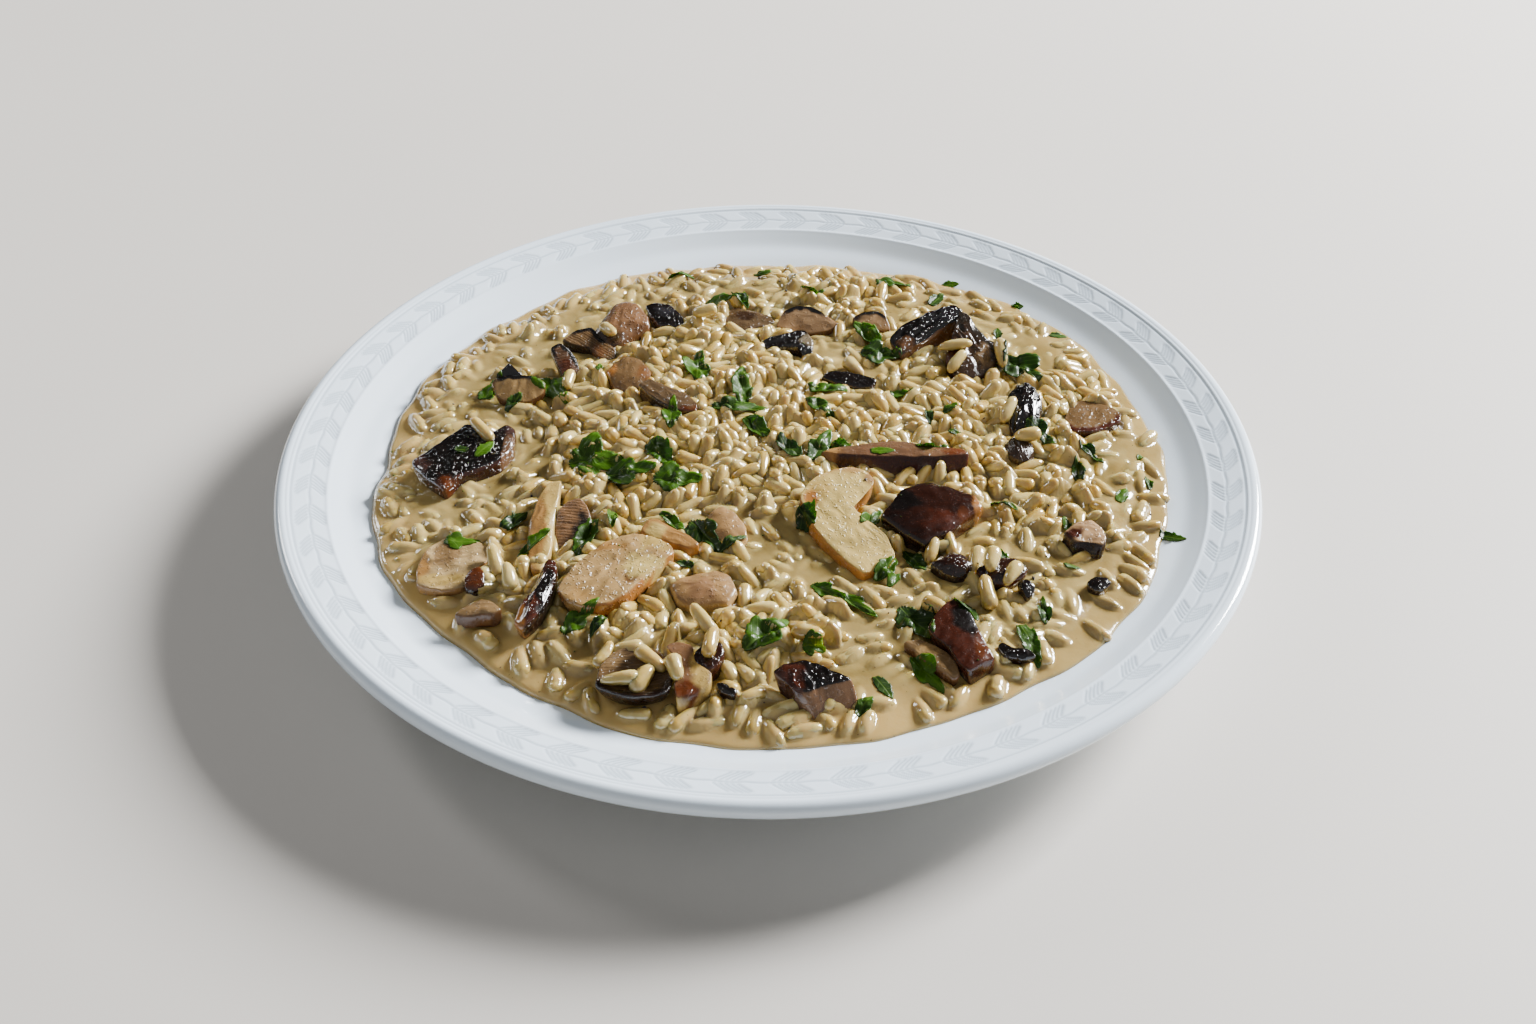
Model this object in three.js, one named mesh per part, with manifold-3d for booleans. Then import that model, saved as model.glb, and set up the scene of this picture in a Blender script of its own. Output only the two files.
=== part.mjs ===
// Mushroom risotto served on its dinner plate.
// Millimetres, +Z up. The origin is the middle of the plate's foot ring, on the table.
// The plate is a lathe. The creamy sauce lines its well and shows as a smooth margin. The rice
// lies in the sauce as one heap with bumps the size of grains. Mushrooms are pressed into the
// rice, and leaves of parsley lie on top.

import * as THREE from 'three';
import { mergeVertices } from 'three/addons/utils/BufferGeometryUtils.js';
import Module from 'manifold-3d';

const wasm = await Module();
wasm.setup();

// ---- driving dimensions ----

// Half of the plate's section, radius and height, from the middle of the floor out to the rim.
const plateRadius = 140;
const rimHeight = 24;
const wellFloor = 8.5;
const floorUnderside = 4;
const footInner = 81;
const footOuter = 85;
const plateSides = 52;
const wellBend = [114, 16.4];
const plateTopProfile = [
  [0, wellFloor],
  [85, wellFloor],
  [93, 9.2],
  [107, 13.4],
  wellBend,
  [120, 18],
  [125.2, 21],
  [136, 23.5],
  [138.4, rimHeight],
];
const plateUnderProfile = [
  [0, floorUnderside],
  [78, floorUnderside],
  [footInner, 0],
  [footOuter, 0],
  [88.5, 3.8],
  [98, 5.6],
  [113, 11.8],
  [126, 16.6],
  [136, 19.0],
  [139.2, 20.4],
  [plateRadius, 22.2],
];

// Clearance between neighbouring pieces.
const gap = 0.3;
const riceGap = 0.45;

// Slivers thinner than this, left where pieces are cut out of the rice, are merged.
const sliver = 0.08;

// Sauce: where it ends on the plate, every 15 degrees from +X, and the margin it leaves
// outside the rice, every 30 degrees.
const sauceEdge = [
  116.3, 115.6, 116.8, 116.3, 114.9, 112.6, 112.2, 113.0, 113.9, 113.8, 114.2, 114.3,
  112.6, 115.0, 115.6, 112.5, 113.2, 116.2, 115.8, 115.6, 115.4, 117.0, 117.3, 115.6,
];
const sauceMargin = [5.5, 4.0, 6.0, 7.0, 3.5, 2.6, 2.2, 2.6, 4.0, 6.0, 4.5, 3.0];
const sauceLevel = 17.9;
const sauceEdgeThickness = 0.45;
const sauceEdgeDrop = 0.5;
const sauceEdgeInset = 1;
const sauceFilm = 1.1;
const sauceUnderRadii = [107, 93, 85];

// Rice: a lattice of rings with six more points in each, a bump on every third point.
const grainRings = 23;
const riceUnderside = 12.8;
const riceEdgeHeight = 0.9;
const flatUnderShare = 0.8;
const heapLevel = 18.9;
const heapCrown = 2.3;
const heapCrownRadius = 86;
const bumpHeight = 1.8;
const lowestBump = 0.7;
const secondBump = 0.75;
const longGrainShare = 0.6;
const grainShift = 0.7;
const grainSeed = 11;

// Swells and hollows of the heap: x, y, height, radius.
const swells = [
  [-34, 9, 2.3, 22],
  [-6, -7, 1.3, 18],
  [-21, 50, 1.1, 20],
  [22, 79, 0.9, 18],
  [30, 14, 0.8, 20],
  [96, 38, 0.9, 14],
  [-2, -80, 0.8, 15],
  [-31, -82, 0.8, 13],
  [66, -62, 0.7, 16],
  [-64, -12, 0.6, 12],
  [70, 84, -0.9, 18],
  [98, 8, -0.7, 16],
  [22, -54, -0.9, 14],
];

// Mushroom pieces, each a slice or a chunk with a traced top. The middle of the top lies at x, y,
// lifted off the heap's own height. slope is how steeply the top rises along x and along y.
// thickness goes straight down from the top, and lean shifts the underside. round is the radius
// of the top's edge, dome raises the middle of the top, and flare is the underside's own scale.
// The outline runs counter-clockwise about the middle.
const caps = [
  {
    name: 'cap_big_dark', at: [-86.6, -7.7], lift: 5.6, slope: [0.0, 0.05],
    thickness: 7, lean: [1, -1.5], round: 1.5, dome: 0.8, flare: 0.92,
    outline: [
      [-10, -10.5], [-4, -16], [-0.5, -10], [5.5, -7], [10.5, -4], [13.5, 2.5], [13.5, 10.5],
      [11, 13], [8.5, 9], [4, 11.5], [-1.5, 13], [-5.5, 7.5], [-10.5, 1.5], [-15, -4],
    ],
  },
  {
    name: 'cap_pink_back', at: [-46.6, 58.9], lift: 5.4, slope: [0.05, 0.3],
    thickness: 6.5, lean: [0, -1], round: 2.2, dome: 1.2, flare: 0.9,
    outline: [
      [-5, -9], [0.5, -8.5], [4.5, -4.5], [9.5, -1], [9, 3], [5.5, 8], [1.5, 9.5], [-2.5, 8.5],
      [-7, 0.5], [-10, -6.5],
    ],
  },
  {
    name: 'cap_dark_back', at: [-32.6, 65.6], lift: 4, slope: [-0.15, 0.1],
    thickness: 5, lean: [0, -0.5], round: 1.4, dome: 0.5, flare: 0.9,
    outline: [
      [-5, -1], [-2, -5.5], [2, -6.5], [6.5, -4], [5.5, 1], [1, 6], [-3.5, 6], [-7, 4],
    ],
  },
  {
    name: 'cap_amber', at: [-42, 31], lift: 4, slope: [0, 0.15],
    thickness: 5, lean: [0, 0], round: 1.8, dome: 0.8, flare: 0.9,
    outline: [
      [-5, -5], [-1, -8], [3.5, -6.5], [7.5, -3.5], [6.5, 2], [3, 7], [-1.5, 8], [-5, 5.5],
      [-7.5, 0.5],
    ],
  },
  {
    name: 'cap_round_black', at: [75.8, 13.5], lift: 6, slope: [0, 0.2],
    thickness: 7, lean: [0, 0], round: 2.4, dome: 1.6, flare: 0.85,
    outline: [
      [-4.5, -10], [-1, -11.5], [2.5, -9.5], [5.6, 1.5], [5, 6.5], [2.2, 10.3], [-1.5, 9.8],
      [-4.8, 5.5], [-5.8, -6],
    ],
  },
  {
    name: 'cap_glossy', at: [44.1, -36], lift: 6.6, slope: [0.0, 0.1],
    thickness: 6.5, lean: [0, -1], round: 1.8, dome: 1.2, flare: 0.88,
    outline: [
      [-8, -8.5], [-2.5, -13], [5, -8], [11, -2], [15, 1], [13, 5.5], [6, 9], [1, 11], [-3, 10.5],
      [-8, 7.5], [-11.5, 1.5], [-14, -2],
    ],
  },
  {
    name: 'cap_red', at: [48.3, -82.9], lift: 5.6, slope: [-0.05, 0.1],
    thickness: 6, lean: [1, 0], round: 0.9, dome: 0.4, flare: 0.95,
    outline: [
      [-6.5, -1.5], [-3.5, -4], [-1.5, -9], [1, -12.5], [4, -10], [8, -7.5], [4.5, 3], [2.5, 9.5],
      [0, 12], [-3, 10.5], [-5.5, 7], [-8.5, 1.5],
    ],
  },
  {
    name: 'cap_two_tone', at: [9.8, -98.6], lift: 5.6, slope: [0.0, 0.15],
    thickness: 7, lean: [2.5, -4], round: 0.8, dome: 0.4, flare: 0.95,
    outline: [
      [-6, -0.5], [-4, -3], [-0.5, -5], [3, -3], [11, -0.5], [6.5, 2.2], [2, 4.5], [-1.5, 5.5],
      [-5.5, 4.5], [-9, 2],
    ],
  },
  {
    name: 'cap_upturned', at: [-32.5, -95.9], lift: 4.6, slope: [0, 0.05],
    thickness: 5, lean: [0, 0.5], round: 1, dome: -1.4, flare: 0.82,
    outline: [
      [-5, -7.5], [0, -8.5], [4.5, -8], [8.5, -6.5], [9.5, -2], [9, 3.5], [5.5, 7.5], [0.5, 9.5],
      [-4.5, 8], [-7.5, 5.5], [-9.5, 1.5], [-10, -4.5],
    ],
  },
  {
    name: 'cap_sunk_back', at: [-7.2, 64.5], lift: 2.6, slope: [0, 0.1],
    thickness: 4, lean: [0, 0], round: 1.2, dome: 0.4, flare: 0.9,
    outline: [
      [-5.5, -5], [-0.5, -7], [4.5, -4], [10, -1.5], [8, 2], [2, 5], [-3.5, 6.5], [-8, 3],
    ],
  },
  {
    name: 'fold_left', at: [48.8, 54.1], lift: 7, slope: [0.1, 0.35],
    thickness: 5, lean: [1.5, -1.5], round: 1, dome: 0.8, flare: 0.9,
    outline: [
      [-8, -9.5], [-3, -6.5], [7, 0], [11.5, 1.5], [12.5, 5], [10, 7.5], [2, 6], [-3, 3.5],
      [-7.5, 1], [-11.5, -3.5],
    ],
  },
  {
    name: 'fold_right', at: [62.6, 43.6], lift: 6, slope: [-0.1, 0.36],
    thickness: 5.5, lean: [0, -1], round: 1.5, dome: 0.8, flare: 0.88,
    outline: [
      [-4.5, 9], [-6.5, 2.5], [-8.5, -4.5], [-6, -9.5], [-0.5, -11], [5.5, -8], [9, -2.5],
      [9.5, 2], [5.5, 5], [2, 9], [-0.5, 14], [-3, 14.5],
    ],
  },
];
const slices = [
  {
    name: 'slice_kidney', at: [21.2, -38], lift: 5.2, slope: [-0.05, 0.15],
    thickness: 4.2, lean: [-0.5, -0.8], round: 0.7, dome: 0.2, flare: 0.97,
    outline: [
      [-9.5, -2.5], [-5.5, -9.5], [4, -20], [10.5, -17], [13, -13.5], [11, -6.5], [4.5, 0],
      [2, 4.5], [3, 8], [6.5, 10], [8.5, 14], [6.5, 17.5], [2.5, 19], [-2.5, 18], [-10, 12.5],
      [-12.5, 7.5],
    ],
  },
  {
    name: 'slice_oval', at: [-40.3, -59.4], lift: 6, slope: [0.0, 0.1],
    thickness: 4.5, lean: [0.5, -1], round: 0.9, dome: 0.3, flare: 0.95,
    outline: [
      [-12, -11], [-7.5, -13], [-1, -12.5], [3.5, -9.5], [11, 0], [15.5, 5.5], [15, 8.5],
      [9.5, 12], [4, 13], [-2.5, 10], [-7, 6], [-10.5, 1], [-13, -3.5], [-14.5, -7.5],
    ],
  },
  {
    name: 'slice_long', at: [36.6, -10.5], lift: 6.2, slope: [0.0, -0.15],
    thickness: 7.5, lean: [0, -3.5], round: 0.8, dome: 0.2, flare: 0.95,
    outline: [
      [-15.5, -1.5], [-5.5, -2.5], [5.5, -3], [16, -2.2], [20.5, -1], [19.5, 1.2], [9.5, 3.8],
      [3.5, 6], [-2, 6.5], [-11, 4], [-18.5, 2], [-22, 0],
    ],
  },
  {
    name: 'slice_leaning', at: [-74.8, 24.3], lift: 5, slope: [0.0, 0.7],
    thickness: 3, lean: [0, 0], round: 0.5, dome: 0.2, flare: 0.97,
    outline: [
      [-6, -2.5], [-2, -4], [3.5, -3.5], [7.5, -1.5], [8, 1.5], [5, 3], [0.5, 3.5], [-8.5, 2],
    ],
  },
  {
    name: 'slice_gilled_left', at: [-61.4, 36.4], lift: 4.6, slope: [-0.2, 0.5],
    thickness: 3.2, lean: [0, 0], round: 0.5, dome: 0.2, flare: 0.95,
    outline: [
      [-2.5, -1], [0, -6], [2.5, -8], [4, -3.5], [3.5, 1], [1, 4.5], [-2.5, 7], [-5.5, 4.5],
    ],
  },
  {
    name: 'slice_gilled_right', at: [-54.9, 50.1], lift: 3.8, slope: [-0.1, 0.3],
    thickness: 3.2, lean: [0, 0], round: 0.6, dome: 0.2, flare: 0.95,
    outline: [
      [-0.5, -2], [3.5, -6.5], [7.5, -5], [7.5, -1.5], [3, 2], [-0.5, 6.5], [-5.5, 4.5], [-9.5, 0],
    ],
  },
  {
    name: 'slice_arched_left', at: [11.9, 61.2], lift: 4.4, slope: [0, 0.75],
    thickness: 3, lean: [0, 0], round: 0.5, dome: 0.2, flare: 0.97,
    outline: [
      [-5, -3], [1, -3.5], [6.5, -3], [11, -1], [1, 4], [-3, 4], [-7, 2.5], [-9.5, -1.5],
    ],
  },
  {
    name: 'slice_arched_right', at: [33, 61.5], lift: 4.2, slope: [0, 0.75],
    thickness: 3, lean: [0, 0], round: 0.5, dome: 0.2, flare: 0.97,
    outline: [
      [-5, -1], [-2, -2.5], [2.5, -2.5], [6, -2.5], [4.5, 1.5], [1.5, 3], [-2.5, 2.5], [-6.5, 1],
    ],
  },
  {
    name: 'slice_sunk', at: [95.7, 14.6], lift: 2.8, slope: [0, 0.0],
    thickness: 3, lean: [0, 0], round: 0.5, dome: 0.2, flare: 0.95,
    outline: [
      [-6, -8], [-0.5, -7.5], [4.5, -5.5], [8.5, -2.5], [9.5, 1.5], [7, 4.5], [2.5, 7], [-2, 8.5],
      [-6, 5], [-8.5, -4],
    ],
  },
  {
    name: 'slice_left', at: [-84.4, -51.9], lift: 2.4, slope: [0, 0.05],
    thickness: 3.4, lean: [0, -0.4], round: 0.6, dome: 0.2, flare: 0.97,
    outline: [
      [-1, -10.5], [4.5, -9.5], [7, -4], [9.5, 0.5], [9, 6.5], [4, 9.5], [-2, 10.5], [-6, 7.5],
      [-8, 3.5], [-9, -2.5], [-8, -8.5],
    ],
  },
  {
    name: 'slice_wedge', at: [-19.6, -95.6], lift: 5.2, slope: [0.0, 0.15],
    thickness: 5, lean: [0, -1.5], round: 0.7, dome: 0.2, flare: 0.92,
    outline: [
      [-2, 0], [-3.5, -4.5], [-2.5, -9], [5.5, -4], [6, -1], [1.5, 3], [1, 7.5], [-6, 7.5],
    ],
  },
];
const stemsAndStrips = [
  {
    name: 'stem_end', at: [-27, -44.7], lift: 5, slope: [-0.05, 0.1],
    thickness: 4, lean: [0, -1.2], round: 0.8, dome: 0.2, flare: 0.95,
    outline: [
      [-4, -1.5], [0.5, -3.5], [5.5, -5], [9, -3.5], [6, -0.5], [-3.5, 5.5], [-6, 4.5], [-7.5, 1],
    ],
  },
  {
    name: 'wedge_middle', at: [-29.2, 15.5], lift: 5.2, slope: [-0.05, 0.15],
    thickness: 6, lean: [0, -1.2], round: 0.7, dome: 0.3, flare: 0.92,
    outline: [
      [-5, -0.5], [0, -4.5], [4.5, -6], [8.5, -6], [8.5, -2.5], [5, 1.5], [-6.5, 7], [-9.5, 4.5],
    ],
  },
  {
    name: 'stem_long', at: [-60.9, -40], lift: 4.6, slope: [0, 0.1],
    thickness: 4.5, lean: [0, 0], round: 1.4, dome: 0.4, flare: 0.92,
    outline: [
      [-2.5, 10.5], [-4, 2.5], [-4, -5], [-3, -11.5], [-1.5, -17.5], [1, -17], [3, -10.5], [3, -4],
      [3, 5], [3.5, 11.5], [3.5, 18], [0, 17],
    ],
  },
  {
    name: 'strip_glossy', at: [-59.2, -68.7], lift: 6.2, slope: [0.0, 0.1],
    thickness: 5.5, lean: [0, 0], round: 1.8, dome: 0.8, flare: 0.9,
    outline: [
      [-2, 2], [-4.5, -4], [-5.5, -9.5], [-3, -12], [-0.5, -9.5], [2, -5], [3.5, 1], [4.5, 7.5],
      [4, 11.5], [1.5, 13],
    ],
  },
  {
    name: 'strip_curl', at: [7.4, 48.6], lift: 4.6, slope: [0, 0.35],
    thickness: 4, lean: [0, -0.5], round: 0.9, dome: 0.3, flare: 0.9,
    outline: [
      [-5, -3.5], [2, -2], [3.5, -5.5], [6, -5], [7, 0], [4.5, 4.5], [1.5, 4.5], [-10, 0],
    ],
  },
  {
    name: 'strip_flat', at: [24.7, 29.7], lift: 3.4, slope: [0, 0.1],
    thickness: 3.5, lean: [0, -0.5], round: 0.9, dome: 0.2, flare: 0.9,
    outline: [
      [-4.5, -1.5], [2, -3.5], [6.5, -4], [8.5, -0.5], [4, 2], [-1, 3.5], [-6, 3.5], [-9, 0.5],
    ],
  },
  {
    name: 'strip_grey', at: [72.6, -3], lift: 3.4, slope: [0, 0.2],
    thickness: 4.5, lean: [0, 0], round: 1.6, dome: 0.8, flare: 0.9,
    outline: [
      [-3.8, -3], [-1, -5.5], [2.5, -5], [4.2, -1.5], [3.8, 2], [1, 3.6], [-2.5, 3.8], [-4.4, 1],
    ],
  },
  {
    name: 'strip_bean_left', at: [48.9, -55.1], lift: 4, slope: [0, 0.1],
    thickness: 5, lean: [0, -0.5], round: 1.8, dome: 0.8, flare: 0.85,
    outline: [
      [-3.5, -2.5], [0, -4.5], [3.5, -4], [5.5, 0], [3.5, 3.5], [0, 4.5], [-3.5, 3], [-6.5, 0],
    ],
  },
  {
    name: 'strip_bean_right', at: [61.8, -57.7], lift: 4, slope: [0, 0.1],
    thickness: 5, lean: [0, -0.5], round: 1.8, dome: 0.6, flare: 0.85,
    outline: [
      [-4.5, -4.5], [1, -5], [5.5, -2], [7, 1], [4.5, 4.5], [0.5, 5], [-3, 3], [-7.5, 0.5],
    ],
  },
  {
    name: 'stem_crescent', at: [41.7, -88.7], lift: 3.2, slope: [0, 0.1],
    thickness: 4, lean: [0, -0.5], round: 1.2, dome: 0.4, flare: 0.9,
    outline: [
      [1.5, -5], [4, -7], [6, -6], [5.5, -2], [3.5, 1.5], [0, 4.5], [-4, 6], [-8, 5],
    ],
  },
  {
    name: 'chunk_brown', at: [-74.3, -71.1], lift: 3.6, slope: [0, 0.1],
    thickness: 4, lean: [0, -1], round: 0.8, dome: 0.4, flare: 0.92,
    outline: [
      [-3.5, -2.5], [0.5, -2], [4, -2], [6, -0.5], [3, 2.5], [0, 3.5], [-4, 0.5], [-6.5, -2],
    ],
  },
  {
    name: 'curl_gilled', at: [-53.1, -38.6], lift: 4, slope: [0.1, 0.3],
    thickness: 4, lean: [0, 0], round: 1, dome: 0.3, flare: 0.9,
    outline: [
      [-5, -2], [-3.5, -8], [0, -7.5], [3.5, -5], [5.5, -0.5], [4, 5], [1.5, 8], [-2, 7],
      [-4.5, 4.5],
    ],
  },
  {
    name: 'chunk_dark_front', at: [-14.7, -90.6], lift: 5.2, slope: [0, 0.1],
    thickness: 5, lean: [0, -1], round: 0.9, dome: 0.3, flare: 0.92,
    outline: [
      [0, -5], [2.5, -3], [4, 1], [3, 4.5], [0, 4.5], [-3, 2], [-4.5, -2],
    ],
  },
  {
    name: 'lump_soft', at: [-16.6, -65.2], lift: 4, slope: [0, 0.1],
    thickness: 5.5, lean: [0, -0.5], round: 2.2, dome: 1.2, flare: 0.88,
    outline: [
      [-7, -4.5], [-2.5, -6.5], [2, -5.5], [6.5, -5.5], [9, -0.5], [7, 5], [3, 7], [-2.5, 5.5],
      [-6.5, 4], [-9.5, 1.5],
    ],
  },
  {
    name: 'lump_pink', at: [-11.2, -39.6], lift: 3.4, slope: [0, 0.15],
    thickness: 5, lean: [0, -0.5], round: 1.8, dome: 0.8, flare: 0.88,
    outline: [
      [-4.5, -3], [3.5, -7.5], [6, -4], [5, 1], [2, 5.5], [-1.5, 7.5], [-4.5, 5.5], [-6.5, 1],
    ],
  },
  {
    name: 'block_cream', at: [86.2, -42.6], lift: 5, slope: [0, 0.1],
    thickness: 7, lean: [-1, -2], round: 0.8, dome: 0.3, flare: 0.95,
    outline: [
      [-4, -3.5], [0, -3.5], [3.5, -5], [5, -2.5], [4.5, 1.5], [2, 5], [-2.5, 4], [-6.5, 0.5],
    ],
  },
];

// Largest radius of an edge that is left sharp, and the share of a top's edge radius that its
// outline is drawn in by.
const sharpEdge = 1.3;
const edgeInset = 0.6;

// Dark bits too small to be pieces of their own, bedded in the rice.
const bits = [
  { at: [-78.6, 32.6], lift: 5.4, slope: [0, 0.9], thickness: 4,
    outline: [[0, -1.5], [4.5, -1], [0, 2.5], [-2, 1], [-4.5, -1]] },
  { at: [-76.7, -60.8], lift: 4.4, slope: [0, 0.3], thickness: 4,
    outline: [[-2.5, -3], [0.5, -4], [2.5, -2], [1, 4], [-3, 0.5]] },
  { at: [67.4, -64.1], lift: 3.6, slope: [0, 0.2], thickness: 3.5,
    outline: [[-0.5, -3.5], [1.5, -2], [2.5, 0.5], [0.5, 3], [-2.5, 1.5]] },
  { at: [86.9, -60.5], lift: 3, slope: [0, 0.1], thickness: 3,
    outline: [[0, -3], [3.5, 0], [2.5, 2], [-1, 2.5], [-3.5, 0]] },
  { at: [62, -86.3], lift: 2.8, slope: [0, 0.1], thickness: 2.5,
    outline: [[-3, -1.5], [2, -2.5], [5.5, -1.5], [3.5, 1], [-3, 3.5]] },
  { at: [-10.2, -99.9], lift: 3.4, slope: [0, 0.1], thickness: 3,
    outline: [[-1.5, -1], [2, -2.5], [3, -0.5], [-1.5, 2], [-3, 1.5]] },
];

// Parsley leaves: x, y, heading and roll in degrees, length, width.
const leaves = [
  [77.4, 38.9, -59, 20, 17, 13],
  [-50.2, -10.6, 0, 8, 16, 15],
  [-39.9, -17.4, 0, -8, 11, 10],
  [-26.4, -21.6, 0, 5, 14, 11],
  [-21.3, 34.5, 90, 30, 18, 9],
  [-7.7, 23.3, 90, 25, 18, 7],
  [-65.4, 27.5, -60, 12, 18, 11],
  [34, 46.4, 0, 15, 13, 12],
  [40.5, 89.8, 0, 8, 12, 10],
  [-15.6, 74.7, 0, 12, 12, 9],
  [78.8, 4.1, -51, 15, 12, 8],
  [-1.2, -83.1, 44, 10, 16, 11],
  [37.7, -74.4, -58, 8, 16, 10],
  [39, -92, -53, 10, 13, 6],
  [-17.5, -40.9, -57, 12, 17, 8],
  [-48.9, -75.1, 42, 8, 13, 6],
  [111, -36.3, -33, 10, 8, 4],
];
const leafThickness = 0.7;
const leafSides = 9;
const leafLobes = 3;
const leafLobeDepth = 0.18;
const leafRaggedness = 0.12;
const leafWave = 0.6;
const leafSeed = 50;

// Chopped parsley too small to be a piece of its own, bedded in the rice: x, y, heading.
const flakes = [
  [-29.3, 94.7, 0],
  [14.7, 15, -45],
  [47.4, 11, 90],
  [-30.8, -8.8, -60],
  [-3.3, 3.5, -54],
  [14.9, -63.2, -38],
  [22.7, -68, -39],
  [65, -29.3, -40],
  [93.1, -2.4, -49],
  [71.1, -71.2, 90],
];
const flakeSize = [8, 5];
const flakeThickness = 1.2;
const flakeSides = 5;
const flakeSink = 0.8;
const flakeSeed = 300;

// A leaf is lowered from this height in steps of this size until it touches.
const dropHeight = rimHeight + 10;
const dropStep = 0.25;

// ---- finishes ----

function finish(color, roughness) {
  return new THREE.MeshStandardMaterial({ color, roughness, metalness: 0 });
}
const porcelain = finish(0xdde3e8, 0.12);
const cream = finish(0xbfa070, 0.25);
const rice = finish(0xe0cc98, 0.3);
const capSkin = finish(0x3c2620, 0.2);
const paleFlesh = finish(0xc9a674, 0.35);
const brownFlesh = finish(0x7a5a44, 0.35);
const parsley = finish(0x2f6b22, 0.4);

// ---- helpers ----

const fullTurn = Math.PI * 2;

// Seeded random numbers from 0 to 1.
function randomFrom(seed) {
  let state = seed;
  return () => {
    state = (Math.imul(state, 1664525) + 1013904223) >>> 0;
    return state / 4294967296;
  };
}

// A solid from points and triangles given as plain lists.
function solidFrom(points, triangles) {
  const vertProperties = new Float32Array(points.flat());
  const triVerts = new Uint32Array(triangles.flat());
  return new wasm.Manifold(new wasm.Mesh({ numProp: 3, vertProperties, triVerts }));
}

// A solid from a closed three.js geometry.
function solidFromGeometry(geometry) {
  geometry.deleteAttribute('normal');
  geometry.deleteAttribute('uv');
  const merged = mergeVertices(geometry, 1e-3);
  const vertProperties = new Float32Array(merged.attributes.position.array);
  const triVerts = new Uint32Array(merged.index.array);
  return new wasm.Manifold(new wasm.Mesh({ numProp: 3, vertProperties, triVerts }));
}

// The largest body of a solid: scraps that a cut leaves behind are dropped.
function largestBody(solid) {
  const bodies = solid.decompose();
  return bodies.reduce((best, body) => (body.volume() > best.volume() ? body : best));
}

function addPiece(group, name, solid, material) {
  const cut = solid.getMesh();
  const geometry = new THREE.BufferGeometry();
  geometry.setAttribute('position', new THREE.Float32BufferAttribute(cut.vertProperties, 3));
  geometry.setIndex(Array.from(cut.triVerts));
  geometry.computeVertexNormals();
  const piece = new THREE.Mesh(geometry, material);
  piece.name = name;
  group.add(piece);
}

// Value at an angle from a list that goes evenly round the circle, with smooth turns.
function roundList(list, angle) {
  const turns = (angle / fullTurn) % 1;
  const place = (turns < 0 ? turns + 1 : turns) * list.length;
  const first = Math.floor(place) % list.length;
  const next = (first + 1) % list.length;
  const share = place - Math.floor(place);
  const blend = share * share * (3 - 2 * share);
  return list[first] * (1 - blend) + list[next] * blend;
}

function plateTop(radius) {
  const next = plateTopProfile.findIndex(([r]) => r >= radius);
  if (next < 1) {
    return wellFloor;
  }
  const [r0, z0] = plateTopProfile[next - 1];
  const [r1, z1] = plateTopProfile[next];
  return z0 + ((z1 - z0) * (radius - r0)) / (r1 - r0);
}

// Height just clear of the plate's top.
function onPlate(radius) {
  return plateTop(radius) + gap;
}

function sauceRadius(angle) {
  return roundList(sauceEdge, angle);
}

function riceRadius(angle) {
  return sauceRadius(angle) - roundList(sauceMargin, angle);
}

function riceBottomAtEdge(angle) {
  return onPlate(riceRadius(angle)) + sauceFilm + riceGap;
}

// Height of the heap without its grains.
function heapHeight(x, y) {
  const radius = Math.hypot(x, y);
  let height = heapLevel + heapCrown * Math.exp(-((radius / heapCrownRadius) ** 4));
  for (const [sx, sy, rise, spread] of swells) {
    height += rise * Math.exp(-((x - sx) ** 2 + (y - sy) ** 2) / spread ** 2);
  }
  return height;
}

// Joins two closed loops of equal length, given by the index of their first point.
function band(triangles, first, second, count) {
  for (let i = 0; i < count; i += 1) {
    const j = (i + 1) % count;
    triangles.push([first + i, first + j, second + j], [first + i, second + j, second + i]);
  }
}

// Closes a loop onto one point. The loop runs counter-clockwise as seen from outside.
function fan(triangles, first, count, middle) {
  for (let i = 0; i < count; i += 1) {
    triangles.push([first + i, first + ((i + 1) % count), middle]);
  }
}

// ---- plate ----

function makePlate() {
  const outward = [...plateUnderProfile, ...plateTopProfile.slice().reverse()];
  const profile = outward.map(([r, z]) => new THREE.Vector2(r, z));
  const lathe = new THREE.LatheGeometry(profile, plateSides);
  lathe.rotateX(Math.PI / 2);
  return solidFromGeometry(lathe);
}

// ---- sauce ----

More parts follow.
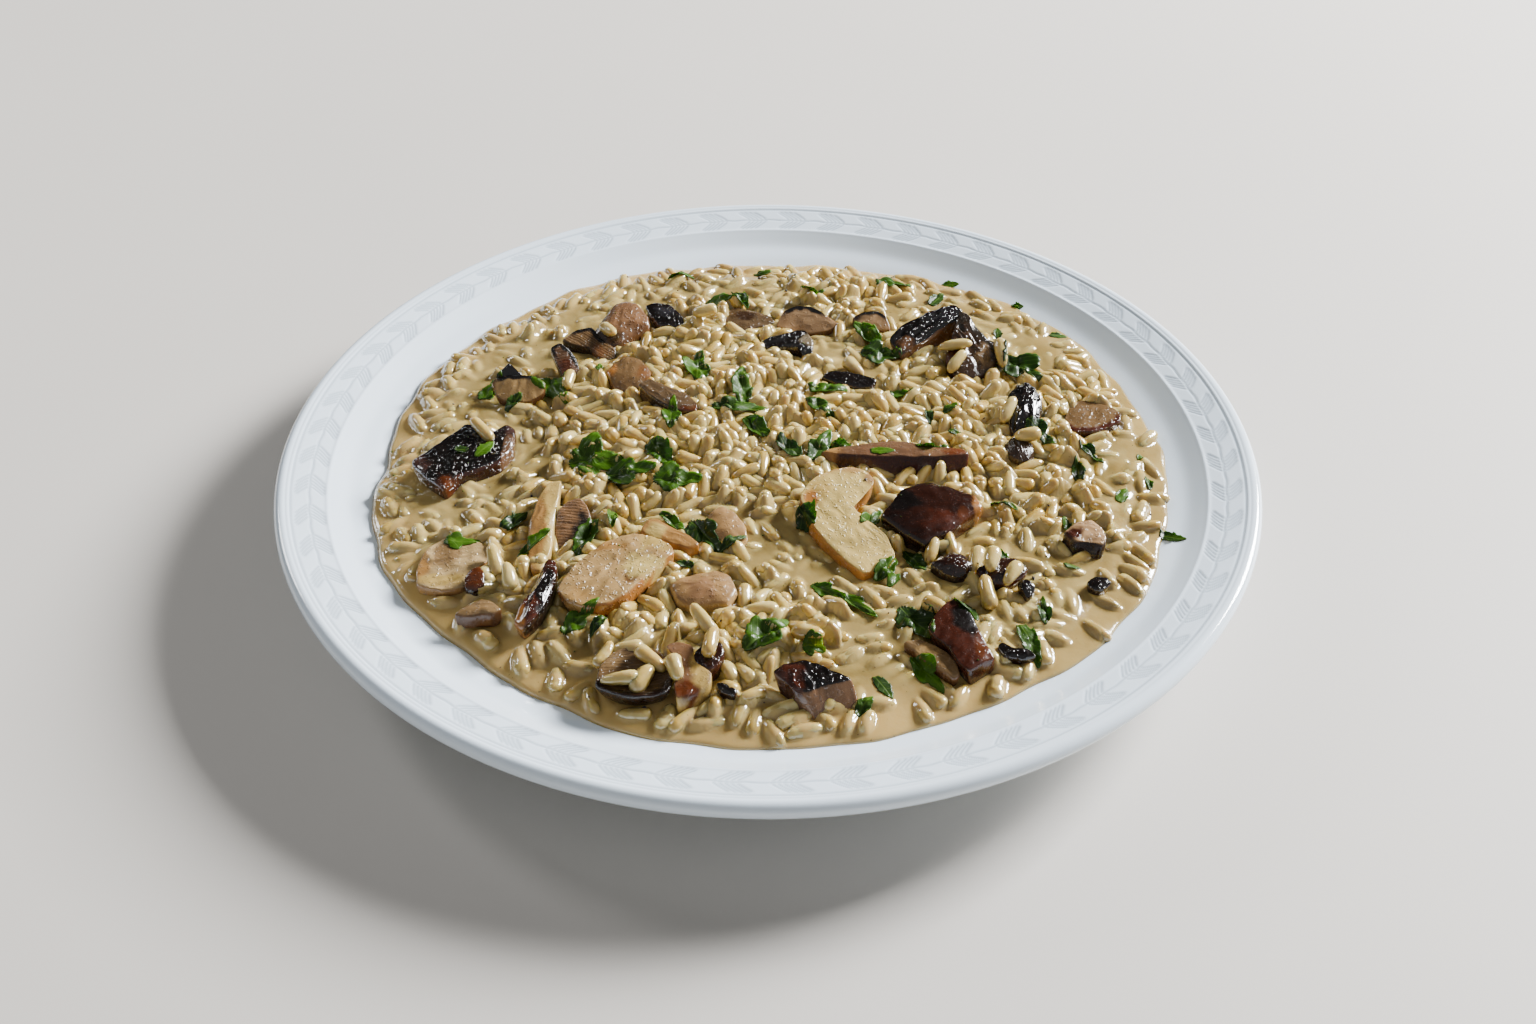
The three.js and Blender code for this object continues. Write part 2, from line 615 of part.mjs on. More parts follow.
// Loops from the margin inwards and down the recess for the rice, then under the sauce along
// the plate and back up to its outer edge.
function makeSauce() {
  const points = [];
  const triangles = [];
  const loops = [
    (a) => {
      const leastHeight = onPlate(sauceRadius(a)) + sauceEdgeThickness;
      return [sauceRadius(a), Math.max(sauceLevel - sauceEdgeDrop, leastHeight)];
    },
    (a) => [(sauceRadius(a) * 2 + riceRadius(a)) / 3, Math.max(sauceLevel, onPlate(sauceRadius(a)))],
    (a) => [riceRadius(a) + riceGap, sauceLevel],
    (a) => [riceRadius(a) + riceGap, riceBottomAtEdge(a) - riceGap],
    (a) => [riceRadius(a) * flatUnderShare, riceUnderside - riceGap],
  ];
  const bendRadius = (a) => Math.min(wellBend[0], sauceRadius(a) - sauceEdgeInset);
  const underLoops = [
    (a) => [sauceRadius(a), onPlate(sauceRadius(a))],
    (a) => [bendRadius(a), onPlate(bendRadius(a))],
    ...sauceUnderRadii.map((radius) => () => [radius, onPlate(radius)]),
  ];
  for (const loop of [...loops, ...underLoops]) {
    for (let i = 0; i < plateSides; i += 1) {
      const angle = (i / plateSides) * fullTurn;
      const [radius, z] = loop(angle);
      points.push([radius * Math.cos(angle), radius * Math.sin(angle), z]);
    }
  }
  const topMiddle = points.push([0, 0, riceUnderside - riceGap]) - 1;
  const underMiddle = points.push([0, 0, wellFloor + gap]) - 1;
  for (let i = 0; i < loops.length - 1; i += 1) {
    band(triangles, i * plateSides, (i + 1) * plateSides, plateSides);
  }
  fan(triangles, (loops.length - 1) * plateSides, plateSides, topMiddle);
  const under = loops.length * plateSides;
  band(triangles, under, 0, plateSides);
  for (let i = 0; i < underLoops.length - 1; i += 1) {
    band(triangles, under + (i + 1) * plateSides, under + i * plateSides, plateSides);
  }
  const last = under + (underLoops.length - 1) * plateSides;
  for (let i = 0; i < plateSides; i += 1) {
    triangles.push([last + ((i + 1) % plateSides), last + i, underMiddle]);
  }
  return solidFrom(points, triangles);
}

// ---- rice ----

// Steps along the six directions of the triangular lattice.
const directions = [
  [1, 0],
  [0, 1],
  [-1, 1],
  [-1, 0],
  [0, -1],
  [1, -1],
];

function latticeIndex(ring, step) {
  return ring === 0 ? 0 : 1 + 3 * ring * (ring - 1) + (step % (6 * ring));
}

// Every lattice point with its ring, its step round the ring and its two lattice coordinates.
function latticePoints() {
  const places = [{ ring: 0, step: 0, a: 0, b: 0 }];
  for (let ring = 1; ring <= grainRings; ring += 1) {
    for (let step = 0; step < 6 * ring; step += 1) {
      const sector = Math.floor(step / ring);
      const along = step % ring;
      const [a0, b0] = directions[sector];
      const [a1, b1] = directions[(sector + 1) % 6];
      places.push({
        ring,
        step,
        a: a0 * (ring - along) + a1 * along,
        b: b0 * (ring - along) + b1 * along,
      });
    }
  }
  return places;
}

// How far each lattice point stands above the valleys, from 0 to 1: a grain's middle on every
// third point, and a lower second point where the grain lies long.
function grainHeights(places, random) {
  const indexAt = new Map(places.map((place, index) => [`${place.a},${place.b}`, index]));
  const heights = places.map(() => 0);
  places.forEach((place, index) => {
    const isGrain = (((place.a - place.b) % 3) + 3) % 3 === 0;
    if (!isGrain || place.ring >= grainRings) {
      return;
    }
    const [da, db] = directions[Math.floor(random() * 6)];
    const tall = lowestBump + (1 - lowestBump) * random();
    const second = indexAt.get(`${place.a + da},${place.b + db}`);
    heights[index] = tall;
    if (second !== undefined && random() < longGrainShare) {
      heights[second] = Math.max(heights[second], tall * secondBump);
    }
  });
  return heights;
}

function makeRice() {
  const random = randomFrom(grainSeed);
  const places = latticePoints();
  const heights = grainHeights(places, random);
  const edgeCount = 6 * grainRings;
  const points = places.map(({ ring, step }, index) => {
    const angle = ring === 0 ? 0 : (step / (6 * ring)) * fullTurn;
    const isEdge = ring === grainRings;
    const inward = isEdge ? random() * 2 * grainShift : 0;
    const radius = (riceRadius(angle) * ring) / grainRings - inward;
    const shift = isEdge ? 0 : grainShift;
    const x = radius * Math.cos(angle) + shift * (random() * 2 - 1);
    const y = radius * Math.sin(angle) + shift * (random() * 2 - 1);
    const edgeZ = riceBottomAtEdge(angle) + riceEdgeHeight;
    return [x, y, isEdge ? edgeZ : heapHeight(x, y) + bumpHeight * heights[index]];
  });
  const triangles = [];
  for (let ring = 1; ring <= grainRings; ring += 1) {
    for (let sector = 0; sector < 6; sector += 1) {
      for (let along = 0; along < ring; along += 1) {
        const outer = latticeIndex(ring, sector * ring + along);
        const outerNext = latticeIndex(ring, sector * ring + along + 1);
        const inner = latticeIndex(ring - 1, sector * (ring - 1) + along);
        triangles.push([outer, outerNext, inner]);
        if (along < ring - 1) {
          const innerNext = latticeIndex(ring - 1, sector * (ring - 1) + along + 1);
          triangles.push([inner, outerNext, innerNext]);
        }
      }
    }
  }
  const edge = latticeIndex(grainRings, 0);
  const under = points.length;
  for (let i = 0; i < edgeCount; i += 1) {
    const [x, y] = points[edge + i];
    points.push([x, y, riceBottomAtEdge((i / edgeCount) * fullTurn)]);
  }
  const flat = points.length;
  for (let i = 0; i < edgeCount; i += 1) {
    const angle = (i / edgeCount) * fullTurn;
    const radius = riceRadius(angle) * flatUnderShare;
    points.push([radius * Math.cos(angle), radius * Math.sin(angle), riceUnderside]);
  }
  const middle = points.push([0, 0, riceUnderside]) - 1;
  band(triangles, under, edge, edgeCount);
  band(triangles, flat, under, edgeCount);
  for (let i = 0; i < edgeCount; i += 1) {
    triangles.push([flat + ((i + 1) % edgeCount), flat + i, middle]);
  }
  return solidFrom(points, triangles);
}

// ---- mushrooms ----

// The outline moved outwards by the same distance all round.
function grownOutline(outline, growth) {
  const count = outline.length;
  return outline.map(([x, y], i) => {
    const [px, py] = outline[(i + count - 1) % count];
    const [nx, ny] = outline[(i + 1) % count];
    const before = new THREE.Vector2(y - py, px - x).normalize();
    const after = new THREE.Vector2(ny - y, x - nx).normalize();
    const outward = before.clone().add(after).normalize();
    const reach = growth / Math.max(outward.dot(before), 0.5);
    return [x + outward.x * reach, y + outward.y * reach];
  });
}

// One piece, or the same piece with a skin of the given growth, used to cut its bed.
function makeMushroom(spec, growth = 0) {
  const { at, lift, slope, thickness } = spec;
  const { lean = [0, 0], round = 0.5, dome = 0, flare = 0.95 } = spec;
  const outline = grownOutline(spec.outline, growth);
  const sides = outline.length;
  // Only a well rounded edge gets a loop of its own.
  const depths = round > sharpEdge ? [thickness, round, 0] : [thickness, 0];
  const topHeight = heapHeight(at[0], at[1]) + lift;
  const points = [];
  const place = (x, y, depth) => {
    const share = depth / thickness;
    const rise = x * slope[0] + y * slope[1];
    const skin = growth * (1 - 2 * share);
    points.push([at[0] + x + lean[0] * share, at[1] + y + lean[1] * share, topHeight + rise - depth + skin]);
  };
  depths.forEach((depth, level) => {
    for (const [x, y] of outline) {
      const radius = Math.hypot(x, y);
      const inset = level === depths.length - 1 ? round * edgeInset : 0;
      const scale = (level === 0 ? flare : 1) * ((radius - inset) / radius);
      place(x * scale, y * scale, depth);
    }
  });
  const triangles = [];
  for (let level = 0; level < depths.length - 1; level += 1) {
    band(triangles, level * sides, (level + 1) * sides, sides);
  }
  place(0, 0, 0);
  points[points.length - 1][2] += dome;
  place(0, 0, thickness);
  const top = points.length - 2;
  fan(triangles, (depths.length - 1) * sides, sides, top);
  for (let i = 0; i < sides; i += 1) {
    triangles.push([(i + 1) % sides, i, top + 1]);
  }
  return solidFrom(points, triangles);
}

// ---- parsley ----

// A thin wavy leaf with lobes round its edge, its middle at the origin. Both faces are split
// into the same triangles.
function makeLeaf(length, width, thickness, sides, seed) {
  const random = randomFrom(seed);
  const phase = random() * fullTurn;
  const points = [];
  for (const side of [-1, 1]) {
    const edge = randomFrom(seed + 1);
    for (let i = 0; i < sides; i += 1) {
      const angle = (i / sides) * fullTurn;
      const lobe = 1 - leafLobeDepth * (1 - Math.cos(leafLobes * angle));
      const reach = lobe * (1 + leafRaggedness * (2 * edge() - 1));
      const x = (length / 2) * reach * Math.cos(angle);
      const y = (width / 2) * reach * Math.sin(angle);
      points.push([x, y, leafWave * Math.sin(2 * angle + phase) + (side * thickness) / 2]);
    }
    points.push([0, 0, (side * thickness) / 2]);
  }
  const triangles = [];
  const upper = sides + 1;
  for (let i = 0; i < sides; i += 1) {
    const j = (i + 1) % sides;
    triangles.push([j, i, sides], [upper + i, upper + j, upper + sides]);
  }
  band(triangles, 0, upper, sides);
  return solidFrom(points, triangles);
}

function placed(solid, x, y, z, heading, roll) {
  return solid.rotate([roll, 0, 0]).rotate([0, 0, heading]).translate([x, y, z]);
}

// Lowers a turned leaf from above until it would touch what lies under it.
function restHeight(solid, x, y, heading, roll, ground) {
  let z = dropHeight;
  while (z > wellFloor) {
    if (!placed(solid, x, y, z - dropStep, heading, roll).intersect(ground).isEmpty()) {
      return z;
    }
    z -= dropStep;
  }
  return z;
}

// ---- the dish ----

const dish = new THREE.Group();
const plate = makePlate();
const sauce = makeSauce();
addPiece(dish, 'plate', plate, porcelain);
addPiece(dish, 'sauce', sauce, cream);

const palePieces = /slice|stem|block/;
const darkPieces = /cap|glossy|bean|curl|dark|fold/;

function mushroomFinish(name) {
  if (darkPieces.test(name)) {
    return capSkin;
  }
  return palePieces.test(name) ? paleFlesh : brownFlesh;
}

// Earlier pieces lie on top: each later one is cut clear of them, and the rice of them all.
let bed = makeRice();
let carved = null;
const mushrooms = [];
for (const spec of [...caps, ...slices, ...stemsAndStrips]) {
  const whole = makeMushroom(spec);
  const body = carved ? largestBody(whole.subtract(carved)) : whole;
  const grown = makeMushroom(spec, gap);
  mushrooms.push(body);
  carved = carved ? carved.add(grown) : grown;
  addPiece(dish, spec.name, body, mushroomFinish(spec.name));
}
bed = largestBody(bed.subtract(carved));

const mushroomSolid = mushrooms.reduce((all, body) => all.add(body));
const [flakeLength, flakeWidth] = flakeSize;
flakes.forEach(([x, y, heading], index) => {
  const flake = makeLeaf(flakeLength, flakeWidth, flakeThickness, flakeSides, flakeSeed + index);
  const z = restHeight(flake, x, y, heading, 0, bed) - flakeSink;
  const whole = placed(flake, x, y, z, heading, 0);
  if (whole.intersect(carved).isEmpty()) {
    bed = bed.add(whole);
  }
});
for (const spec of bits) {
  bed = bed.add(makeMushroom(spec).subtract(carved));
}
bed = largestBody(bed).simplify(sliver);
addPiece(dish, 'rice', bed, rice);

let ground = bed.add(mushroomSolid).add(sauce).add(plate);
leaves.forEach(([x, y, heading, roll, length, width], index) => {
  const leaf = makeLeaf(length, width, leafThickness, leafSides, leafSeed + index);
  const z = restHeight(leaf, x, y, heading, roll, ground) + gap;
  const whole = placed(leaf, x, y, z, heading, roll);
  ground = ground.add(whole);
  addPiece(dish, `parsley_${String(index + 1).padStart(2, '0')}`, whole, parsley);
});

export default dish;
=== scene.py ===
import math

import bpy
import numpy as np
from mathutils import Euler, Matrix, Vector, kdtree
from mathutils.bvhtree import BVHTree


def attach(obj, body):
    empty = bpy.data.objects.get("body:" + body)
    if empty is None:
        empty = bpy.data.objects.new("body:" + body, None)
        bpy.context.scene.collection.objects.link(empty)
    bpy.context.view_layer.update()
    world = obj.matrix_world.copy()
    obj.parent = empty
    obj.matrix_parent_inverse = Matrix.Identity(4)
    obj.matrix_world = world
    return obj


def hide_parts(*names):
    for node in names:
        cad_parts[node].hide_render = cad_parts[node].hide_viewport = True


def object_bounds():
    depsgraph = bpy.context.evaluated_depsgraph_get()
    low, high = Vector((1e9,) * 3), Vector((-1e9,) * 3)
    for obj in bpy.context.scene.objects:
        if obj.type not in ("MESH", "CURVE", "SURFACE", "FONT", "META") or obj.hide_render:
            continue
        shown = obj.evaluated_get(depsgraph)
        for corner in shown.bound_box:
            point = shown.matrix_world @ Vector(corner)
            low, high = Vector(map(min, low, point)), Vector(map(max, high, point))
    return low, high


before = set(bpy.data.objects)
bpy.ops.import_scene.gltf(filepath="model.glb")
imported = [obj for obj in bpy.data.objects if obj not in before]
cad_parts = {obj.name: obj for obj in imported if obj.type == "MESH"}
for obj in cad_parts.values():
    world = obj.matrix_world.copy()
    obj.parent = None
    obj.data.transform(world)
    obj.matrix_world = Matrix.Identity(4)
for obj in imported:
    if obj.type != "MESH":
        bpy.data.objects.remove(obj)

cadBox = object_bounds()
mm = 0.001
fullTurn = 2 * math.pi
print("frame loaded, dish box in mm:", [[round(c / mm, 1) for c in corner] for corner in cadBox])

# The dish in millimetres, as the solids have it.
dish = {
    "plateTop": [(0, 8.5), (85, 8.5), (93, 9.2), (107, 13.4), (114, 16.4), (120, 18), (125.2, 21),
                 (136, 23.5)],
    "sauceEdge": [116.3, 115.6, 116.8, 116.3, 114.9, 112.6, 112.2, 113.0, 113.9, 113.8, 114.2, 114.3,
                  112.6, 115.0, 115.6, 112.5, 113.2, 116.2, 115.8, 115.6, 115.4, 117.0, 117.3, 115.6],
    "sauceMargin": [5.5, 4.0, 6.0, 7.0, 3.5, 2.6, 2.2, 2.6, 4.0, 6.0, 4.5, 3.0],
    "heapLevel": 18.9,
    "heapCrown": 2.3,
    "heapCrownRadius": 86,
    # x, y, height, radius of each swell
    "swells": [(-34, 9, 2.3, 22), (-6, -7, 1.3, 18), (-21, 50, 1.1, 20), (22, 79, 0.9, 18),
               (30, 14, 0.8, 20), (96, 38, 0.9, 14), (-2, -80, 0.8, 15), (-31, -82, 0.8, 13),
               (66, -62, 0.7, 16), (-64, -12, 0.6, 12), (70, 84, -0.9, 18), (98, 8, -0.7, 16), (22, -54, -0.9, 14)],
}


def roundList(values, angle):
    # value at an angle from a list that goes evenly round the circle
    values = np.asarray(values, float)
    place = (np.asarray(angle) / fullTurn % 1.0) * len(values)
    first = np.floor(place).astype(int) % len(values)
    share = place - np.floor(place)
    blend = share * share * (3 - 2 * share)
    return values[first] * (1 - blend) + values[(first + 1) % len(values)] * blend


def plateTopAt(radius):
    radii, heights = zip(*dish["plateTop"])
    return np.interp(radius, radii, heights)


def sauceRadius(angle):
    ripple = 0.5 * np.sin(23 * angle + 1.0) + 0.35 * np.sin(41 * angle) + 0.3 * np.sin(9 * angle + 2.0)
    return roundList(dish["sauceEdge"], angle) - 0.9 + 0.7 * ripple


def riceRadius(angle):
    return roundList(dish["sauceEdge"], angle) - roundList(dish["sauceMargin"], angle)


def heapHeight(x, y):
    fromMiddle = np.hypot(x, y) / dish["heapCrownRadius"]
    height = dish["heapLevel"] + dish["heapCrown"] * np.exp(-fromMiddle ** 4)
    for sx, sy, rise, spread in dish["swells"]:
        height = height + rise * np.exp(-((x - sx) ** 2 + (y - sy) ** 2) / spread ** 2)
    return height


def smoothStep(low, high, value):
    share = np.clip((value - low) / (high - low), 0, 1)
    return share * share * (3 - 2 * share)


def cloud(x, y, size, seed):
    # soft 2D noise from 0 to 1
    grid = np.random.RandomState(seed).rand(64, 64)
    px, py = np.asarray(x) / size + 20.5, np.asarray(y) / size + 20.5
    ix, iy = np.floor(px).astype(int), np.floor(py).astype(int)
    fx, fy = px - ix, py - iy
    fx, fy = fx * fx * (3 - 2 * fx), fy * fy * (3 - 2 * fy)
    at = lambda i, j: grid[(ix + i) % 64, (iy + j) % 64]
    return (at(0, 0) * (1 - fx) + at(1, 0) * fx) * (1 - fy) + (at(0, 1) * (1 - fx) + at(1, 1) * fx) * fy


def newPiece(name, points, faceGroups, material, replaces=(), attributes=None):
    # points in millimetres; each face group is an array of triangles or of quads
    mesh = bpy.data.meshes.new(name)
    faceGroups = [np.asarray(group, dtype=np.int32) for group in faceGroups if len(group)]
    corners = np.concatenate([group.ravel() for group in faceGroups])
    sizes = np.concatenate([np.full(len(group), group.shape[1]) for group in faceGroups])
    starts = np.concatenate([[0], np.cumsum(sizes)[:-1]]).astype(np.int32)
    mesh.vertices.add(len(points))
    mesh.vertices.foreach_set("co", (np.asarray(points) * mm).astype(np.float32).ravel())
    mesh.loops.add(len(corners))
    mesh.loops.foreach_set("vertex_index", corners)
    mesh.polygons.add(len(sizes))
    mesh.polygons.foreach_set("loop_start", starts)
    mesh.polygons.foreach_set("use_smooth", np.ones(len(sizes), dtype=bool))
    mesh.update(calc_edges=True)
    for key, values in (attributes or {}).items():
        values = np.asarray(values, dtype=np.float32)
        if values.ndim == 2:
            layer = mesh.attributes.new(key, "FLOAT_COLOR", "POINT")
            rgba = np.ones((len(values), 4), dtype=np.float32)
            rgba[:, :3] = values
            layer.data.foreach_set("color", rgba.ravel())
        else:
            layer = mesh.attributes.new(key, "FLOAT", "POINT")
            layer.data.foreach_set("value", values)
    mesh.materials.append(material)
    piece = bpy.data.objects.new(name, mesh)
    bpy.context.scene.collection.objects.link(piece)
    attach(piece, "root")
    if replaces:
        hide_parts(*replaces)
    return piece


def bandFaces(first, second, count):
    # quads between two loops of equal length
    i = np.arange(count)
    j = (i + 1) % count
    return np.stack([first + i, first + j, second + j, second + i], axis=1)


def fanFaces(first, count, middle, flip=False):
    i = np.arange(count)
    j = (i + 1) % count
    a, b = (first + j, first + i) if flip else (first + i, first + j)
    return np.stack([a, b, np.full(count, middle)], axis=1)


def widenFaces(fine, fineCount, coarse, coarseCount):
    # triangles between a fine loop and a coarse loop outside or inside it
    ratio = fineCount // coarseCount
    faces = []
    for i in range(coarseCount):
        here, there = coarse + i, coarse + (i + 1) % coarseCount
        for k in range(ratio):
            nearest = here if k < ratio / 2 else there
            faces.append((fine + i * ratio + k, fine + (i * ratio + k + 1) % fineCount, nearest))
        middle = fine + (i * ratio + (ratio + 1) // 2) % fineCount
        faces.append((middle, there, here))
    return faces


def linear(red, green, blue):
    # a screen colour, 0 to 255, as the shader's linear colour
    channel = lambda c: c / 12.92 if c <= 0.04045 else ((c + 0.055) / 1.055) ** 2.4
    return tuple(channel(c / 255) for c in (red, green, blue)) + (1.0,)


class Nodes:
    # short helper to build one material's nodes
    def __init__(self, name):
        self.material = bpy.data.materials.new(name)
        self.material.use_nodes = True
        self.tree = self.material.node_tree
        self.shader = self.tree.nodes["Principled BSDF"]

    def add(self, kind, **settings):
        node = self.tree.nodes.new(kind)
        for key, value in settings.items():
            setattr(node, key, value)
        return node

    def join(self, source, target):
        self.tree.links.new(source, target)

    def fixed(self, **values):
        for key, value in values.items():
            self.shader.inputs[key.replace("_", " ")].default_value = value

    def place(self):
        return self.add("ShaderNodeTexCoord").outputs["Object"]

    def color(self, source):
        self.join(source, self.shader.inputs["Base Color"])

    def rough(self, source):
        self.join(source, self.shader.inputs["Roughness"])

    def noise(self, scale, detail=3.0, roughness=0.5, source=None):
        node = self.add("ShaderNodeTexNoise")
        node.inputs["Scale"].default_value = scale
        node.inputs["Detail"].default_value = detail
        node.inputs["Roughness"].default_value = roughness
        self.join(source or self.place(), node.inputs["Vector"])
        return node.outputs["Fac"]

    def attribute(self, name, output="Fac"):
        return self.add("ShaderNodeAttribute", attribute_name=name).outputs[output]

    def mix(self, factor, first, second, blend="MIX"):
        node = self.add("ShaderNodeMix", data_type="RGBA", blend_type=blend)
        self.feed(factor, node.inputs["Factor"])
        self.feed(first, node.inputs[6])
        self.feed(second, node.inputs[7])
        return node.outputs[2]

    def feed(self, source, target):
        if isinstance(source, (int, float, tuple)):
            target.default_value = source
        else:
            self.join(source, target)

    def math(self, operation, first, second=0.0):
        node = self.add("ShaderNodeMath", operation=operation)
        self.feed(first, node.inputs[0])
        self.feed(second, node.inputs[1])
        return node.outputs[0]

    def times(self, first, second):
        return self.math("MULTIPLY", first, second)

    def plus(self, first, second):
        return self.math("ADD", first, second)

    def range(self, source, low, high, toLow=0.0, toHigh=1.0):
        node = self.add("ShaderNodeMapRange", interpolation_type="SMOOTHSTEP")
        for name, value in (("From Min", low), ("From Max", high), ("To Min", toLow), ("To Max", toHigh)):
            node.inputs[name].default_value = value
        self.join(source, node.inputs["Value"])
        return node.outputs["Result"]

    def bump(self, height, strength, distance):
        node = self.add("ShaderNodeBump")
        node.inputs["Strength"].default_value = strength
        node.inputs["Distance"].default_value = distance
        self.join(height, node.inputs["Height"])
        self.join(node.outputs["Normal"], self.shader.inputs["Normal"])
        self.join(node.outputs["Normal"], self.shader.inputs["Coat Normal"])


porcelainLook = {
    "glaze": linear(230, 243, 254),
    "glazeCloud": linear(226, 239, 251),
    "cloudScale": 18.0,
    # darker colour in the carved grooves: partly glaze pooled in them, partly painted shade
    "grooveGlazeAndShade": linear(182, 196, 208),
    "roughness": (0.1, 0.2),
    "smearScale": 60.0,
    "coat": 0.5,
    "coatRoughness": 0.06,
    "waviness": 0.08,
    "waveScale": 90.0,
    "waveHeight": 0.0004,
}


def makePorcelain():
    m, look = Nodes("porcelainGlaze"), porcelainLook
    clouds = m.range(m.noise(look["cloudScale"], 2.0), 0.35, 0.7)
    m.color(m.mix(m.attribute("carve"), m.mix(clouds, look["glaze"], look["glazeCloud"]), look["grooveGlazeAndShade"]))
    m.rough(m.range(m.noise(look["smearScale"], 3.0), 0.3, 0.8, *look["roughness"]))
    m.fixed(Coat_Weight=look["coat"], Coat_Roughness=look["coatRoughness"], IOR=1.5)
    m.bump(m.noise(look["waveScale"], 2.0), look["waviness"], look["waveHeight"])
    return m.material


sauceLook = {
    "deep": linear(126, 105, 57),
    "cream": linear(157, 135, 82),
    "patchScale": 70.0,
    "overGrain": linear(181, 157, 96),
    # lighter sauce near its edge: partly the thin sauce over the white plate, partly painted light where the bank
    # faces away from the lamp
    "margin": linear(196, 162, 98),
    "marginShare": 0.75,
    "fleck": linear(50, 36, 24),
    "fleckShare": 0.55,
    "fleckScale": 900.0,
    "fleckRange": (0.74, 0.8),
    "roughness": (0.1, 0.24),
    "smear": (240.0, 3.0),    # scale and detail
    "specular": 0.12,
    "softness": 0.5,
    "softReach": (0.0025, 0.0017, 0.001),
    "coat": 0.9,
    "coatIor": 1.6,
    "lumps": 0.6,
    "lumpHeight": 0.0008,
    "lumpScales": ((330.0, 0.25), (1100.0, 0.05)),    # coarse and fine, each with its share
}
riceLook = {
    "cream": linear(196, 173, 104),
    "yellow": linear(180, 149, 74),
    "white": linear(214, 199, 142),
    "whiteScale": 260.0,
    # painted shade: the grains' undersides take this dark colour, to deepen the gaps between them
    "undersideShade": linear(84, 62, 26),
    "fleck": sauceLook["fleck"],
    "fleckShare": 0.5,
    "fleckScale": 1100.0,
    "fleckRange": (0.77, 0.81),
    "roughness": (0.16, 0.34),
    "smear": (500.0, 2.0),
    "specular": 0.15,
    "softness": 0.85,
    "softReach": (0.0024, 0.0019, 0.0011),
    "coat": 1.0,
    "coatIor": 1.7,
    "lumps": 0.4,
    "lumpHeight": 0.0005,
    "lumpScales": ((420.0, 0.75), (1500.0, 0.25)),
}


def creamySurface(m, look, base):
    # flecks, gloss, softness and lumps, which sauce and rice have alike
    flecks = m.range(m.noise(look["fleckScale"], 1.0, 0.4), *look["fleckRange"])
    m.color(m.mix(m.times(flecks, look["fleckShare"]), base, look["fleck"]))
    m.rough(m.range(m.noise(*look["smear"]), 0.3, 0.7, *look["roughness"]))
    m.fixed(Specular_IOR_Level=look["specular"], Subsurface_Weight=look["softness"],
            Subsurface_Radius=look["softReach"], Subsurface_Scale=1.0,
            Coat_Weight=look["coat"], Coat_Roughness=0.02, Coat_IOR=look["coatIor"])
    (coarse, coarseShare), (fine, fineShare) = look["lumpScales"]
    lumps = m.times(m.noise(coarse, 2.0, 0.5), coarseShare)
    m.bump(m.plus(lumps, m.times(m.noise(fine, 3.0, 0.6), fineShare)), look["lumps"], look["lumpHeight"])
    return m.material


def makeSauceMaterial():
    m, look = Nodes("creamySauce"), sauceLook
    base = m.mix(m.range(m.noise(look["patchScale"], 4.0), 0.3, 0.7), look["deep"], look["cream"])
    base = m.mix(m.times(m.attribute("margin"), look["marginShare"]), base, look["margin"])
    return creamySurface(m, look, m.mix(m.attribute("overGrain"), base, look["overGrain"]))


def makeRiceMaterial(name, undersideShading):
    # the second argument is how much painted shade darkens the grains' undersides
    m, look = Nodes(name), riceLook
    base = m.mix(m.range(m.attribute("tone"), 0.1, 0.9), look["yellow"], look["cream"])
    base = m.mix(m.range(m.noise(look["whiteScale"], 3.0), 0.45, 0.75, 0.0, 0.6), base, look["white"])
    return creamySurface(m, look, m.mix(m.times(m.attribute("low"), undersideShading), base, look["undersideShade"]))


mushroomLook = {
    "depth": (0.66, 0.6, 0.5, 1.0),          # takes the skins down to their cooked colour
    "fibreDark": (0.45, 0.36, 0.3, 1.0),
    "fibreLight": (1.22, 1.2, 1.17, 1.0),
    "gillDark": (0.2, 0.15, 0.12, 1.0),
    "grainDark": (0.55, 0.5, 0.45, 1.0),
    "fibreContrast": 0.08,
    "fibreScale": 1.5,
    "fibreStretch": 0.16,
    "gillPitch": 7.0,
    "gillDepth": 0.5,
    "dryRoughness": 0.4,
    "wetRoughness": 0.13,
    "softness": 0.12,
    "softReach": (0.0015, 0.0011, 0.0007),
    "coat": 0.9,
    "dropScale": 1000.0,
    "sparkle": 0.5,    # strength of the fine wet bumps
    "sparkleHeight": 0.0006,
}


